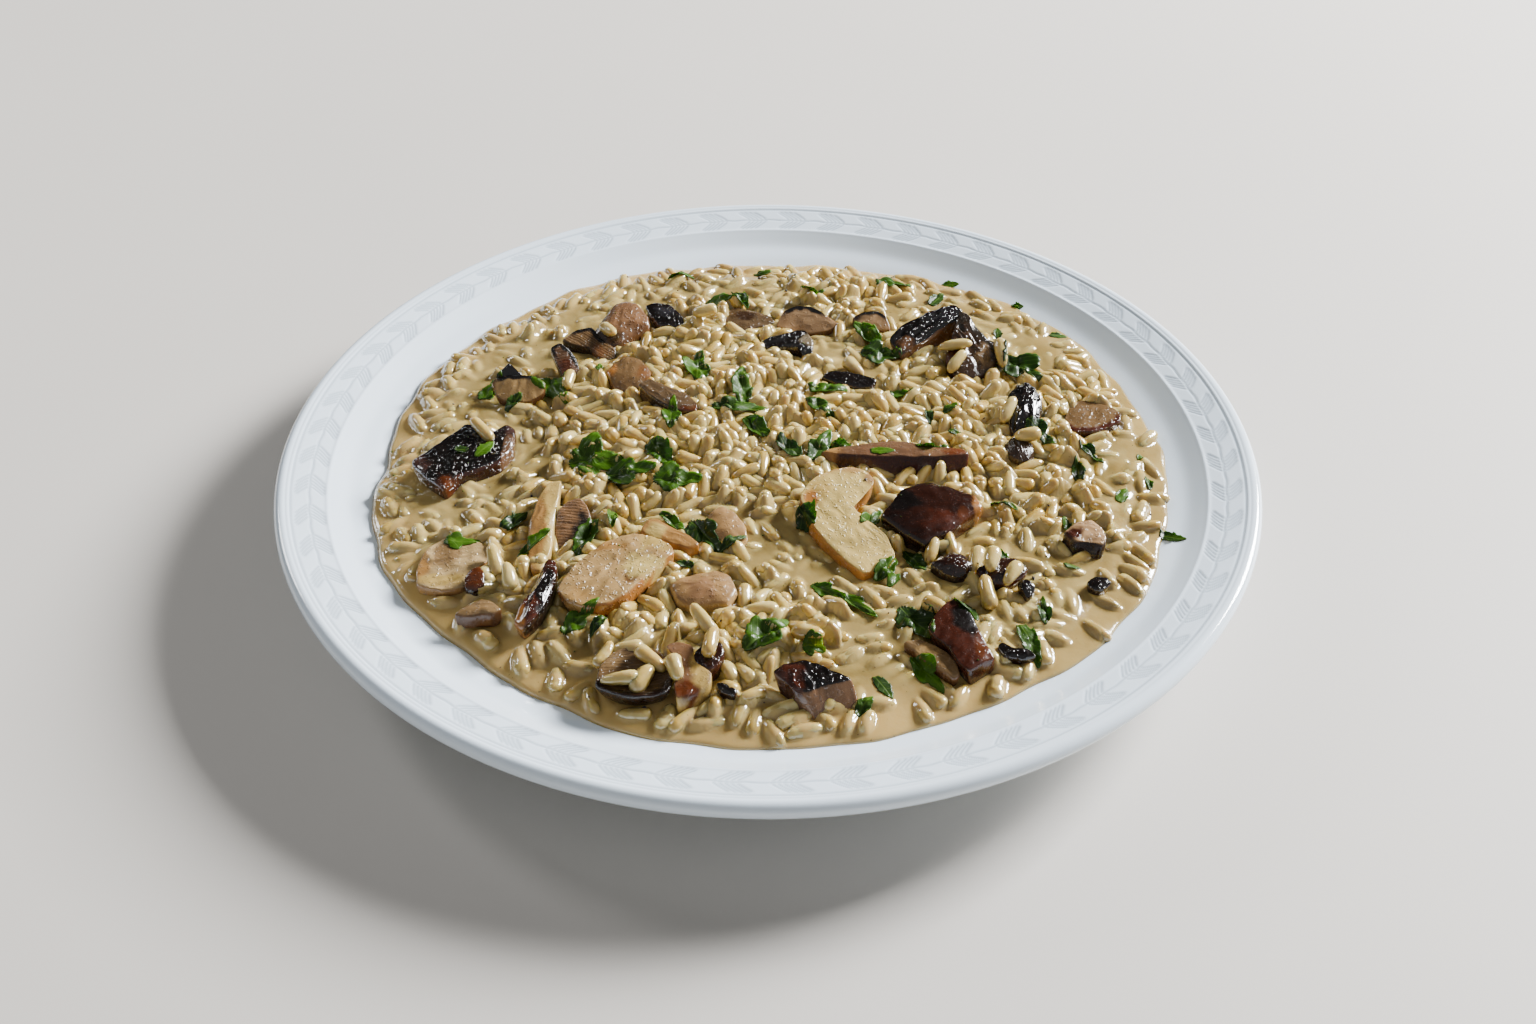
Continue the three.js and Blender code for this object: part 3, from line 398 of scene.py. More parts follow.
def makeMushroomMaterial():
    # colour comes with the piece; fine fibres run along it, gills across its cut
    m, look = Nodes("mushroomFlesh"), mushroomLook
    wet, gills = m.attribute("wet"), m.attribute("gills")
    place = m.add("ShaderNodeCombineXYZ")
    m.join(m.times(m.attribute("along"), look["fibreStretch"]), place.inputs["X"])
    m.join(m.attribute("across"), place.inputs["Y"])
    m.join(m.attribute("depth"), place.inputs["Z"])
    fibres = m.noise(look["fibreScale"], 5.0, 0.6, place.outputs["Vector"])
    wander = m.plus(m.attribute("across"), m.times(fibres, 1.6))
    ridges = m.times(m.plus(m.math("SINE", m.times(wander, look["gillPitch"])), 1.0), 0.5)
    ridges = m.times(m.times(ridges, gills), look["gillDepth"])
    base = m.mix(1.0, m.attribute("tint", "Color"), look["depth"], "MULTIPLY")
    for share, color in ((m.range(fibres, 0.36, 0.66, 0.0, look["fibreContrast"]), look["fibreDark"]),
                         (m.range(fibres, 0.52, 0.72), look["fibreLight"]),
                         (ridges, look["gillDark"]),
                         (m.range(m.noise(1300.0, 3.0, 0.6), 0.3, 0.7, 0.0, 0.25), look["grainDark"])):
        base = m.mix(share, base, color, "MULTIPLY")
    m.color(base)
    rough = m.add("ShaderNodeMix", data_type="FLOAT")
    m.join(wet, rough.inputs[0])
    rough.inputs[2].default_value = look["dryRoughness"]
    rough.inputs[3].default_value = look["wetRoughness"]
    m.rough(m.plus(rough.outputs[0], m.range(m.noise(500.0, 3.0), 0.3, 0.7, -0.03, 0.12)))
    m.fixed(Specular_IOR_Level=0.2, Subsurface_Weight=look["softness"], Subsurface_Radius=look["softReach"],
            Subsurface_Scale=1.0, Coat_Roughness=0.05)
    m.join(m.times(wet, look["coat"]), m.shader.inputs["Coat Weight"])
    drops = m.range(m.noise(look["dropScale"], 2.0, 0.5), 0.56, 0.7)
    height = m.plus(m.times(fibres, 0.1), m.times(m.noise(800.0, 3.0, 0.5), 0.14))
    height = m.plus(height, m.times(drops, m.attribute("drops")))
    m.bump(m.math("SUBTRACT", height, ridges), look["sparkle"], look["sparkleHeight"])
    return m.material


parsleyLook = {
    "dark": linear(17, 37, 4),
    "bright": linear(60, 94, 10),
    "blotchScale": 420.0,
    "vein": linear(96, 124, 42),
    "veinShare": 0.25,
    "veinSlant": 0.9,
    "veinPitch": 2.9,
    "roughness": (0.34, 0.55),
    "softness": 0.12,
    "softReach": (0.0008, 0.0012, 0.0003),
    "coat": 0.14,
    "relief": 0.22,
    "reliefHeight": 0.0004,
}


def makeParsleyMaterial():
    # veins run along the leaf's middle and slant off to its sides
    m, look = Nodes("parsleyLeaf"), parsleyLook
    side = m.math("ABSOLUTE", m.attribute("across"))
    midrib = m.range(side, 0.08, 0.3, 1.0, 0.0)
    slant = m.math("SUBTRACT", m.attribute("along"), m.times(side, look["veinSlant"]))
    slant = m.math("SINE", m.times(slant, look["veinPitch"]))
    veins = m.math("MAXIMUM", midrib, m.range(slant, 0.86, 1.0, 0.0, 0.7))
    base = m.mix(m.attribute("tone"), look["dark"], look["bright"])
    base = m.mix(m.range(m.noise(look["blotchScale"], 3.0), 0.4, 0.7, 0.0, 0.45), base, look["dark"])
    m.color(m.mix(m.times(veins, look["veinShare"]), base, look["vein"]))
    m.rough(m.range(m.noise(400.0, 2.0), 0.3, 0.7, *look["roughness"]))
    m.fixed(Specular_IOR_Level=0.12, Subsurface_Weight=look["softness"], Subsurface_Radius=look["softReach"],
            Subsurface_Scale=1.0, Coat_Weight=look["coat"], Coat_Roughness=0.05)
    height = m.math("SUBTRACT", m.noise(900.0, 3.0), m.times(veins, 0.7))
    m.bump(height, look["relief"], look["reliefHeight"])
    return m.material


pepperLook = {
    "black": linear(18, 14, 11),
    "brown": linear(58, 42, 30),
    "roughness": 0.45,
    "relief": 0.6,
}


def makePepperMaterial():
    m, look = Nodes("pepperSpeck"), pepperLook
    m.color(m.mix(m.noise(2500.0, 3.0), look["black"], look["brown"]))
    m.fixed(Roughness=look["roughness"])
    m.bump(m.noise(3000.0, 2.0), look["relief"], 0.0002)
    return m.material


porcelainMaterial = makePorcelain()
sauceMaterial = makeSauceMaterial()
# the number is how much painted shade each crowd's undersides take
moundRiceMaterial = makeRiceMaterial("riceOnTheMound", 0.5)
beddedRiceMaterial = makeRiceMaterial("riceInTheSauce", 0.75)
mushroomMaterial = makeMushroomMaterial()
parsleyMaterial = makeParsleyMaterial()
pepperMaterial = makePepperMaterial()
print("materials made")


plateShape = {
    "radius": 140.0,
    "under": [(0, 4.0), (40, 4.0), (70, 4.0), (77, 3.9), (79.2, 2.6), (80.4, 0.8), (81.2, 0.1), (82, 0.0),
              (84, 0.0), (85, 0.1), (86.2, 0.9), (88.5, 3.4), (92, 4.6), (98, 5.8), (106, 8.9), (113, 11.9),
              (120, 14.5), (126, 16.7), (132, 18.2)],
    "rimMiddle": (137.55, 21.55),
    "rimRound": 2.42,
    "bandInner": 125.5,
    "bandOuter": 136.0,
    "bandRings": (136.75, 124.6, -0.36),           # first radius, last radius, step
    "bandSlope": [(125.5, 21.05), (137.0, 23.85)],  # radius, height
    "wellRings": (124.3, 124, 123.5, 122.8, 122, 121, 120, 119, 118, 116.5, 115, 113, 110, 107, 104, 101, 98,
                  95, 92, 89, 86, 80, 60, 30),
    "vein": 130.3,
    "leafGroups": 60,
    "coarseSides": 252,
    "fineSides": 2016,
    "grooveDepth": 0.2,
    "grooveWidth": 0.28,
    "beadHeight": 0.16,
    # where each stroke of a leaf group starts along the vein, and how far it runs
    "strokes": [(0.3, 5.2), (1.7, 5.6), (3.1, 5.8), (4.5, 5.6), (5.9, 4.8)],
    "outerLine": 135.3,
}


def smoothTop(radius):
    # the shoulder of the plate, rounded between the solid's rings
    spread = np.linspace(-2.4, 2.4, 13)
    weights = np.exp(-(spread / (0.7 if radius > 122 else 1.5)) ** 2)
    total = sum(w * plateTopAt(np.abs(radius + s)) for s, w in zip(spread, weights))
    return total / weights.sum()


def bandCarving(radius, angle):
    # grooves of the leaf band: a vein with groups of slanting strokes on both sides, and a line outside
    shape = plateShape
    width = shape["grooveWidth"]
    along = (-angle % fullTurn) * shape["vein"]
    across = radius - shape["vein"]
    pitch = fullTurn * shape["vein"] / shape["leafGroups"]
    carved = 0.9 * np.exp(-((across - 0.15 * np.sin(along * 0.8)) / width) ** 2)
    for back in (0, 1):
        u = pitch - along % pitch + back * pitch
        for start, reach in shape["strokes"]:
            run = u - start
            fade = smoothStep(0.1, 0.8, run) * (1 - smoothStep(reach - 1.2, reach, run))
            for side in (1, -1):
                away = (across - side * run * (1.02 - 0.04 * run)) / 1.3
                carved = np.maximum(carved, fade * np.exp(-(away / width) ** 2))
    carved = carved * smoothStep(shape["bandInner"] + 0.3, shape["bandInner"] + 0.9, radius) * (
        1 - smoothStep(shape["bandOuter"] - 1.6, shape["bandOuter"] - 1.0, radius))
    return np.maximum(carved, 0.8 * math.exp(-((radius - shape["outerLine"]) / width) ** 2))


def makePlate():
    shape = plateShape
    coarse, fine = shape["coarseSides"], shape["fineSides"]
    points, carve, faces, triangles = [], [], [], []
    count = 0

    def loop(sides, radius, height, carving=0.0):
        nonlocal count
        angle = np.arange(sides) / sides * fullTurn
        ring = np.stack([radius * np.cos(angle), radius * np.sin(angle),
                         np.broadcast_to(height, (sides,))], axis=1)
        points.append(ring)
        carve.append(np.broadcast_to(carving, (sides,)))
        count += sides
        return count - sides

    def pole(height):
        nonlocal count
        points.append(np.array([[0.0, 0.0, height]]))
        carve.append(np.zeros(1))
        count += 1
        return count - 1

    middleX, middleZ = shape["rimMiddle"]
    rimArc = [(middleX + shape["rimRound"] * math.cos(a), middleZ + shape["rimRound"] * math.sin(a))
              for a in np.radians(np.linspace(-78, 104, 15))]
    under = pole(shape["under"][0][1])
    loops = [loop(coarse, r, z) for r, z in shape["under"][1:] + rimArc]
    triangles.append(fanFaces(loops[0], coarse, under, flip=True))
    faces += [bandFaces(a, b, coarse) for a, b in zip(loops, loops[1:])]
    # the carved band, on the fine sides
    angle = np.arange(fine) / fine * fullTurn
    fineLoops = []
    for radius in np.arange(*shape["bandRings"]):
        rise = np.interp(radius, *zip(*shape["bandSlope"]))
        flat = rise if radius > shape["bandInner"] else float(smoothTop(radius))
        bead = shape["beadHeight"] * (math.exp(-((radius - shape["bandInner"]) / 0.45) ** 2)
                                      + math.exp(-((radius - shape["bandOuter"]) / 0.4) ** 2))
        carving = bandCarving(radius, angle)
        fineLoops.append(loop(fine, radius, flat + bead - shape["grooveDepth"] * carving, carving))
    triangles.append(np.array(widenFaces(fineLoops[0], fine, loops[-1], coarse))[:, ::-1])
    faces += [bandFaces(a, b, fine) for a, b in zip(fineLoops, fineLoops[1:])]
    inner = [loop(coarse, r, float(smoothTop(r))) for r in shape["wellRings"]]
    triangles.append(np.array(widenFaces(fineLoops[-1], fine, inner[0], coarse)))
    faces += [bandFaces(a, b, coarse) for a, b in zip(inner, inner[1:])]
    triangles.append(fanFaces(inner[-1], coarse, pole(dish["plateTop"][0][1])))
    return newPiece("dinnerPlate", np.concatenate(points),
                    [np.concatenate(faces), np.concatenate(triangles)], porcelainMaterial,
                    ["plate"], {"carve": np.concatenate(carve)})


plate = makePlate()
print("plate made:", len(plate.data.polygons), "faces")


# Screen colours of the mushrooms' skins, cut faces and stains.
mushroomColors = {
    "black": (22, 17, 17),
    "paintedBlueSheen": (44, 42, 50),
    # painted reflection: a bluish sheen laid on black tops where they mirror the light
    "greyBlack": (50, 44, 40),
    "blackRed": (44, 22, 16),
    "wine": (70, 34, 24),
    "redBrown": (98, 52, 28),
    "darkBrown": (68, 50, 38),
    "brown": (120, 84, 54),
    "greyBrown": (122, 98, 70),
    "greyTan": (152, 126, 92),
    "plum": (78, 56, 54),
    "mauve": (112, 84, 64),
    "rosy": (140, 107, 82),
    "pink": (160, 125, 94),
    "rosyTan": (178, 144, 102),
    "tan": (198, 166, 116),
    "tanOrange": (180, 138, 84),
    "peach": (204, 166, 108),
    "amber": (176, 120, 62),
    "orange": (196, 140, 74),
    "pale": (216, 188, 116),
    "cream": (228, 205, 132),
    "shell": (198, 164, 128),
    "paleTan": (214, 188, 142),
    "bark": (104, 86, 66),
    "silver": (138, 128, 112),
}

# What most of the pieces share.
usualPiece = {
    "slope": (0, 0.1),
    "lean": (0, 0),
    "round": 1.8,
    "dome": 0.2,
    "flare": 0.9,
    "wet": 0.6,
    "gills": 0,
    "creases": 0.12,
}

# One entry for each piece, in millimetres. at and lift place its top, and the outline runs round it.
# thickness goes down from the top, slope tilts it, lean moves the underside, round is the edge's radius,
# dome raises the middle and flare is the underside's size. top and side are its colours, fibres the
# heading of its fibres, gills how strong the ridges are, wet how glossy it is, drops how much it
# sparkles and creases how folded it is. rim gives a colour, a width and the side it is on. Each patch
# is x, y, half length, half width and colour.
mushroomPieces = [
    dict(name="cap_big_dark", at=(-86.6, -7.7), lift=5.6, thickness=7, top="black", side="wine", fibres=35,
         slope=(0, 0.05), lean=(1, -1.5), round=1.5, dome=0.8, flare=0.92, wet=1, drops=1.3, creases=0.35,
         patches=[(-12.5, -5.3, 3.2, 4.5, "plum"), (-4.2, -14.3, 3.2, 3.3, "redBrown"),
                  (12.5, 0.9, 1.8, 6.1, "mauve"), (12.5, 10.5, 1.4, 3.3, "plum")],
         outline=[(-10, -10.5), (-4, -16), (-0.5, -10), (5.5, -7), (10.5, -4), (13.5, 2.5), (13.5, 10.5),
                  (11, 13), (8.5, 9), (4, 11.5), (-1.5, 13), (-5.5, 7.5), (-10.5, 1.5), (-15, -4)]),
    dict(name="cap_pink_back", at=(-46.6, 58.9), lift=5.4, thickness=6.5, top="rosy", side="brown",
         fibres=70, slope=(0.05, 0.3), lean=(0, -1), round=2.2, dome=1.2, wet=0.8, drops=0.6,
         patches=[(-6.5, 2.3, 1.8, 7.6, "silver"), (-4.2, -5.7, 4.8, 2.9, "darkBrown"),
                  (6.4, -3.1, 3, 3.8, "brown")],
         outline=[(-5, -9), (0.5, -8.5), (4.5, -4.5), (9.5, -1), (9, 3), (5.5, 8), (1.5, 9.5), (-2.5, 8.5),
                  (-7, 0.5), (-10, -6.5)]),
    dict(name="cap_dark_back", at=(-32.6, 65.6), lift=4, thickness=5, top="black", side="darkBrown",
         fibres=20, slope=(-0.15, 0.1), lean=(0, -0.5), round=1.4, dome=0.5, wet=1,
         # the bluish patch is a painted reflection on the black top
         patches=[(-0.6, 1.1, 2.7, 2.4, "paintedBlueSheen")],
         outline=[(-5, -1), (-2, -5.5), (2, -6.5), (6.5, -4), (5.5, 1), (1, 6), (-3.5, 6), (-7, 4)]),
    dict(name="cap_amber", at=(-42, 31), lift=4, thickness=5, top="greyBrown", side="brown", fibres=80,
         slope=(0, 0.15), dome=0.8, wet=0.8,
         patches=[(-6.3, 2.2, 2.7, 4.3, "amber"), (4.8, -0.4, 2.4, 3.8, "brown")],
         outline=[(-5, -5), (-1, -8), (3.5, -6.5), (7.5, -3.5), (6.5, 2), (3, 7), (-1.5, 8), (-5, 5.5),
                  (-7.5, 0.5)]),
    dict(name="cap_round_black", at=(75.8, 13.5), lift=6, thickness=7, top="black", side="blackRed",
         fibres=80, slope=(0, 0.2), round=2.4, dome=1.6, flare=0.85, wet=1, creases=0.5,
         outline=[(-4.5, -10), (-1, -11.5), (2.5, -9.5), (4.2, -4.5), (5.6, 1.5), (5, 6.5), (2.2, 10.3),
                  (-1.5, 9.8), (-4.8, 5.5), (-5.8, 0), (-5.8, -6)]),
    dict(name="cap_glossy", at=(44.1, -36), lift=6.6, thickness=6.5, top="blackRed", side="blackRed",
         fibres=10, lean=(0, -1), dome=1.2, flare=0.88, wet=0.8, drops=0.1,
         patches=[(-7.5, 1.8, 4.6, 4.7, "black"), (5, -5, 7, 3.4, "wine"),
                  (9.9, -3.6, 3.4, 3.4, "redBrown"), (13.4, 1.6, 1.6, 4, "amber")],
         outline=[(-8, -8.5), (-2.5, -13), (5, -8), (11, -2), (15, 1), (13, 5.5), (6, 9), (1, 11),
                  (-3, 10.5), (-8, 7.5), (-11.5, 1.5), (-14, -2)]),
    dict(name="cap_red", at=(48.3, -82.9), lift=5.6, thickness=6, top="wine", side="wine", fibres=50,
         slope=(-0.05, 0.1), lean=(1, 0), round=0.9, dome=0.4, flare=0.95, wet=0.7, drops=0.12,
         patches=[(1.9, 5, 3, 5.7, "black"), (5.8, -4.7, 2, 4.8, "redBrown"), (-5.4, 3.4, 2.4, 4.8, "wine")],
         outline=[(-6.5, -1.5), (-3.5, -4), (-1.5, -9), (1, -12.5), (4, -10), (8, -7.5), (4.5, 3),
                  (2.5, 9.5), (0, 12), (-3, 10.5), (-5.5, 7), (-8.5, 1.5)]),
    dict(name="cap_two_tone", at=(9.8, -98.6), lift=5.6, thickness=7, top="black", side="rosy", fibres=-70,
         slope=(0, 0.15), lean=(2.5, -4), round=0.8, dome=0.4, flare=0.95, wet=0.8, creases=0.3,
         patches=[(-4, -1, 3.2, 4.3, "wine")],
         outline=[(-6, -0.5), (-4, -3), (-0.5, -5), (3, -3), (7, -2), (11, -0.5), (6.5, 2.2), (2, 4.5),
                  (-1.5, 5.5), (-5.5, 4.5), (-9, 2)]),
    dict(name="cap_upturned", at=(-32.5, -95.9), lift=4.6, thickness=5, top="greyBrown", side="blackRed",
         fibres=10, slope=(0, 0.05), lean=(0, 0.5), round=1, dome=-1.4, flare=0.82, wet=0.9, gills=0.5,
         rim=("blackRed", 2.2, 0, -1),
         patches=[(-6.7, 5.7, 3, 4.8, "greyTan")],
         outline=[(-5, -7.5), (0, -8.5), (4.5, -8), (8.5, -6.5), (9.5, -2), (9, 3.5), (5.5, 7.5),
                  (0.5, 9.5), (-4.5, 8), (-7.5, 5.5), (-9.5, 1.5), (-10, -4.5)]),
    dict(name="cap_sunk_back", at=(-7.2, 64.5), lift=2.6, thickness=4, top="bark", side="darkBrown",
         fibres=15, round=1.2, dome=0.4, wet=0.8,
         patches=[(-0.1, 1.6, 3.6, 2.4, "darkBrown")],
         outline=[(-5.5, -5), (-0.5, -7), (4.5, -4), (10, -1.5), (8, 2), (2, 5), (-3.5, 6.5), (-8, 3)]),
    dict(name="fold_left", at=(48.8, 54.1), lift=7, thickness=5, top="black", side="brown", fibres=40,
         slope=(0.1, 0.35), lean=(1.5, -1.5), round=1, dome=0.8, wet=1, drops=1, creases=0.6,
         # the bluish patch is a painted reflection on the black top
         patches=[(-6.2, -6, 2.7, 2.4, "brown"), (6.7, 3.5, 4.2, 2.4, "paintedBlueSheen")],
         outline=[(-8, -9.5), (-3, -6.5), (1.5, -3.5), (7, 0), (11.5, 1.5), (12.5, 5), (10, 7.5), (6.5, 7),
                  (2, 6), (-3, 3.5), (-7.5, 1), (-11.5, -3.5)]),
    dict(name="fold_right", at=(62.6, 43.6), lift=6, thickness=5.5, top="darkBrown", side="wine",
         fibres=-60, slope=(-0.1, 0.36), lean=(0, -1), round=1.5, dome=0.8, flare=0.88, wet=0.8,
         creases=0.5, rim=("greyBlack", 3.4, 0.7, 0.7),
         patches=[(4.1, -3.3, 2.7, 4.3, "greyTan"), (-6.7, -3.3, 2.4, 4.8, "redBrown")],
         outline=[(-4.5, 9), (-6.5, 2.5), (-8.5, -4.5), (-6, -9.5), (-0.5, -11), (5.5, -8), (9, -2.5),
                  (9.5, 2), (5.5, 5), (2, 9), (-0.5, 14), (-3, 14.5)]),
    dict(name="slice_kidney", at=(21.2, -38), lift=5.2, thickness=4.2, top="cream", side="orange",
         fibres=-50, slope=(-0.05, 0.15), lean=(-0.5, -0.8), round=0.7, flare=0.97, wet=0.5, drops=0.6,
         patches=[(-7.4, 9.2, 3.4, 6, "pale"), (-1.7, 18, 6.5, 1.8, "peach"),
                  (-9.6, 5.7, 1.8, 3.6, "amber"), (7.2, 14.7, 1.6, 2.8, "rosyTan"),
                  (-10.5, -2, 1.8, 4.5, "orange")],
         outline=[(-11.5, 2.5), (-9.5, -2.5), (-5.5, -9.5), (0, -16), (4, -20), (10.5, -17), (13, -13.5),
                  (11, -6.5), (8, -2.5), (4.5, 0), (2, 4.5), (3, 8), (6.5, 10), (8.5, 14), (6.5, 17.5),
                  (2.5, 19), (-2.5, 18), (-7, 15.5), (-10, 12.5), (-12.5, 7.5)]),
    dict(name="slice_oval", at=(-40.3, -59.4), lift=6, thickness=4.5, top="tan", side="amber", fibres=38,
         lean=(0.5, -1), round=0.9, dome=0.3, flare=0.95, wet=1, drops=1.2, creases=0.35,
         patches=[(4.7, -3, 2.1, 2.4, "brown"), (-9.3, -10.7, 3.2, 3.8, "peach"),
                  (10.3, 10, 3.6, 3.8, "pale"), (6.8, 0.9, 6.6, 4.3, "cream"), (-3, 8, 5, 2, "tanOrange")],
         outline=[(-12, -11), (-7.5, -13), (-1, -12.5), (3.5, -9.5), (7, -5), (11, 0), (15.5, 5.5),
                  (15, 8.5), (9.5, 12), (4, 13), (-2.5, 10), (-7, 6), (-10.5, 1), (-13, -3.5),
                  (-14.5, -7.5)]),
    dict(name="slice_long", at=(36.6, -10.5), lift=6.2, thickness=7.5, top="mauve", side="wine", fibres=2,
         slope=(0, -0.15), lean=(0, -3.5), round=0.8, flare=0.95, wet=0.5,
         patches=[(-19, 0.5, 3.6, 3.3, "tanOrange"), (17, 0, 4, 2.9, "redBrown")],
         outline=[(-15.5, -1.5), (-5.5, -2.5), (5.5, -3), (16, -2.2), (20.5, -1), (19.5, 1.2), (9.5, 3.8),
                  (3.5, 6), (-2, 6.5), (-11, 4), (-18.5, 2), (-22, 0)]),
    dict(name="slice_leaning", at=(-74.8, 24.3), lift=5, thickness=3, top="tan", side="brown", fibres=80,
         slope=(0, 0.7), round=0.5, flare=0.97, drops=0.3, rim=("black", 1.3, 0, 1),
         patches=[(-8.2, -1.1, 1.5, 8.6, "brown"), (-4.9, 3.6, 3, 1.4, "silver"),
                  (-9.6, 1.2, 1.5, 2.9, "black")],
         outline=[(-6, -2.5), (-2, -4), (3.5, -3.5), (7.5, -1.5), (8, 1.5), (5, 3), (0.5, 3.5), (-5, 3),
                  (-8.5, 2)]),
    dict(name="slice_gilled_left", at=(-61.4, 36.4), lift=4.6, thickness=3.2, top="mauve", side="darkBrown",
         fibres=20, slope=(-0.2, 0.5), round=0.5, flare=0.95, wet=0.7, gills=0.8, rim=("black", 1.4, 0.3, 1),
         patches=[(-0.2, -2.2, 2.4, 3.8, "redBrown")],
         outline=[(-2.5, -1), (0, -6), (2.5, -8), (4, -3.5), (3.5, 1), (1, 4.5), (-2.5, 7), (-5.5, 4.5)]),
    dict(name="slice_gilled_right", at=(-54.9, 50.1), lift=3.8, thickness=3.2, top="greyBrown",
         side="darkBrown", fibres=-30, slope=(-0.1, 0.3), round=0.6, flare=0.95, wet=0.7, gills=0.8,
         rim=("black", 1.6, 0.2, 1),
         patches=[(2.6, -3.3, 2.1, 2.9, "brown")],
         outline=[(-5, -1.5), (-0.5, -2), (3.5, -6.5), (7.5, -5), (7.5, -1.5), (3, 2), (-0.5, 6.5),
                  (-5.5, 4.5), (-9.5, 0)]),
    dict(name="slice_arched_left", at=(11.9, 61.2), lift=4.4, thickness=3, top="shell", side="brown",
         fibres=5, slope=(0, 0.75), round=0.5, flare=0.97, drops=0.3, rim=("black", 1.3, 0, 1),
         patches=[(11.5, 1.1, 2.4, 2.4, "darkBrown")],
         outline=[(-5, -3), (1, -3.5), (6.5, -3), (11, -1), (8.5, 0), (5, 2.5), (1, 4), (-3, 4), (-7, 2.5),
                  (-9.5, -1.5)]),
    dict(name="slice_arched_right", at=(33, 61.5), lift=4.2, thickness=3, top="shell", side="brown",
         fibres=5, slope=(0, 0.75), round=0.5, flare=0.97, drops=0.3, rim=("black", 1.3, 0.1, 1),
         patches=[(-5.1, 1.9, 1.8, 2.4, "darkBrown")],
         outline=[(-5, -1), (-2, -2.5), (2.5, -2.5), (6, -2.5), (4.5, 1.5), (1.5, 3), (-2.5, 2.5),
                  (-6.5, 1)]),
    dict(name="slice_sunk", at=(95.7, 14.6), lift=2.8, thickness=3, top="greyBrown", side="redBrown",
         fibres=60, slope=(0, 0), round=0.5, flare=0.95, wet=0.7, rim=("wine", 1.9, 0.3, -1),
         outline=[(-6, -8), (-0.5, -7.5), (4.5, -5.5), (8.5, -2.5), (9.5, 1.5), (7, 4.5), (2.5, 7),
                  (-2, 8.5), (-6, 5), (-8.5, -4)]),
    dict(name="slice_left", at=(-84.4, -51.9), lift=2.4, thickness=3.4, top="paleTan", side="tanOrange",
         fibres=20, slope=(0, 0.05), lean=(0, -0.4), round=0.6, flare=0.97, drops=0.8, creases=0.3,
         patches=[(-7.8, -0.9, 2.7, 6.7, "tanOrange"), (-1.7, -6.6, 6, 1.9, "pale"),
                  (-1.3, 3.7, 4.8, 4.8, "greyTan")],
         outline=[(-1, -10.5), (4.5, -9.5), (7, -4), (9.5, 0.5), (9, 6.5), (4, 9.5), (-2, 10.5), (-6, 7.5),
                  (-8, 3.5), (-9, -2.5), (-8, -8.5)]),
    dict(name="slice_wedge", at=(-19.6, -95.6), lift=5.2, thickness=5, top="rosy", side="pale", fibres=55,
         slope=(0, 0.15), lean=(0, -1.5), round=0.7, flare=0.92,
         patches=[(2.9, -0.9, 2.1, 6.7, "pale"), (-0.8, -6.3, 4.2, 2.9, "redBrown")],
         outline=[(-4, 4.5), (-2, 0), (-3.5, -4.5), (-2.5, -9), (1.5, -7), (5.5, -4), (6, -1), (1.5, 3),
                  (1, 7.5), (-3, 9), (-6, 7.5)]),
    dict(name="stem_end", at=(-27, -44.7), lift=5, thickness=4, top="tanOrange", side="orange", fibres=-20,
         slope=(-0.05, 0.1), lean=(0, -1.2), round=0.8, flare=0.95, wet=0.4,
         patches=[(-3.3, 0.1, 2.4, 2.9, "cream")],
         outline=[(-4, -1.5), (0.5, -3.5), (5.5, -5), (9, -3.5), (6, -0.5), (1, 2.5), (-3.5, 5.5),
                  (-6, 4.5), (-7.5, 1)]),
    dict(name="wedge_middle", at=(-29.2, 15.5), lift=5.2, thickness=6, top="bark", side="blackRed",
         fibres=-35, slope=(-0.05, 0.15), lean=(0, -1.2), round=0.7, dome=0.3, flare=0.92, wet=0.9,
         drops=0.7,
         patches=[(6.4, -7.4, 3, 3.8, "redBrown"), (-6.2, 1.1, 2.7, 2.4, "greyBrown")],
         outline=[(-5, -0.5), (0, -4.5), (4.5, -6), (8.5, -6), (8.5, -2.5), (5, 1.5), (-1.5, 4.5),
                  (-6.5, 7), (-9.5, 4.5)]),
    dict(name="stem_long", at=(-60.9, -40), lift=4.6, thickness=4.5, top="pale", side="tan", fibres=-97,
         round=1.4, dome=0.4, flare=0.92, wet=0.4, rim=("cream", 1.2, 1, 0),
         patches=[(-1.7, -2, 2.4, 14.3, "tanOrange")],
         outline=[(-2.5, 10.5), (-4, 2.5), (-4, -5), (-3, -11.5), (-1.5, -17.5), (1, -17), (3, -10.5),
                  (3, -4), (3, 5), (3.5, 11.5), (3.5, 18), (0, 17)]),
    dict(name="strip_glossy", at=(-59.2, -68.7), lift=6.2, thickness=5.5, top="wine", side="blackRed",
         fibres=-115, dome=0.8, wet=1, drops=1.2, creases=0.4,
         patches=[(-4.2, -9.3, 2.1, 3.8, "amber"), (1.7, 1, 2.4, 7.6, "black")],
         outline=[(0, 8.5), (-2, 2), (-4.5, -4), (-5.5, -9.5), (-3, -12), (-0.5, -9.5), (2, -5), (3.5, 1),
                  (4.5, 7.5), (4, 11.5), (1.5, 13)]),
    dict(name="strip_curl", at=(7.4, 48.6), lift=4.6, thickness=4, top="black", side="blackRed", fibres=15,
         slope=(0, 0.35), lean=(0, -0.5), round=0.9, dome=0.3, wet=1, drops=0.8, creases=0.4,
         patches=[(5, 0.4, 2.1, 2.4, "silver")],
         outline=[(-7.5, -2), (-5, -3.5), (-2, -2), (2, -2), (3.5, -5.5), (6, -5), (7, 0), (4.5, 4.5),
                  (1.5, 4.5), (-2, 3), (-6, 2), (-10, 0)]),
    dict(name="strip_flat", at=(24.7, 29.7), lift=3.4, thickness=3.5, top="black", side="blackRed",
         fibres=-15, lean=(0, -0.5), round=0.9, wet=0.8,
         outline=[(-4.5, -1.5), (2, -3.5), (6.5, -4), (8.5, -0.5), (4, 2), (-1, 3.5), (-6, 3.5),
                  (-9, 0.5)]),
    dict(name="strip_grey", at=(72.6, -3), lift=3.4, thickness=4.5, top="darkBrown", side="darkBrown",
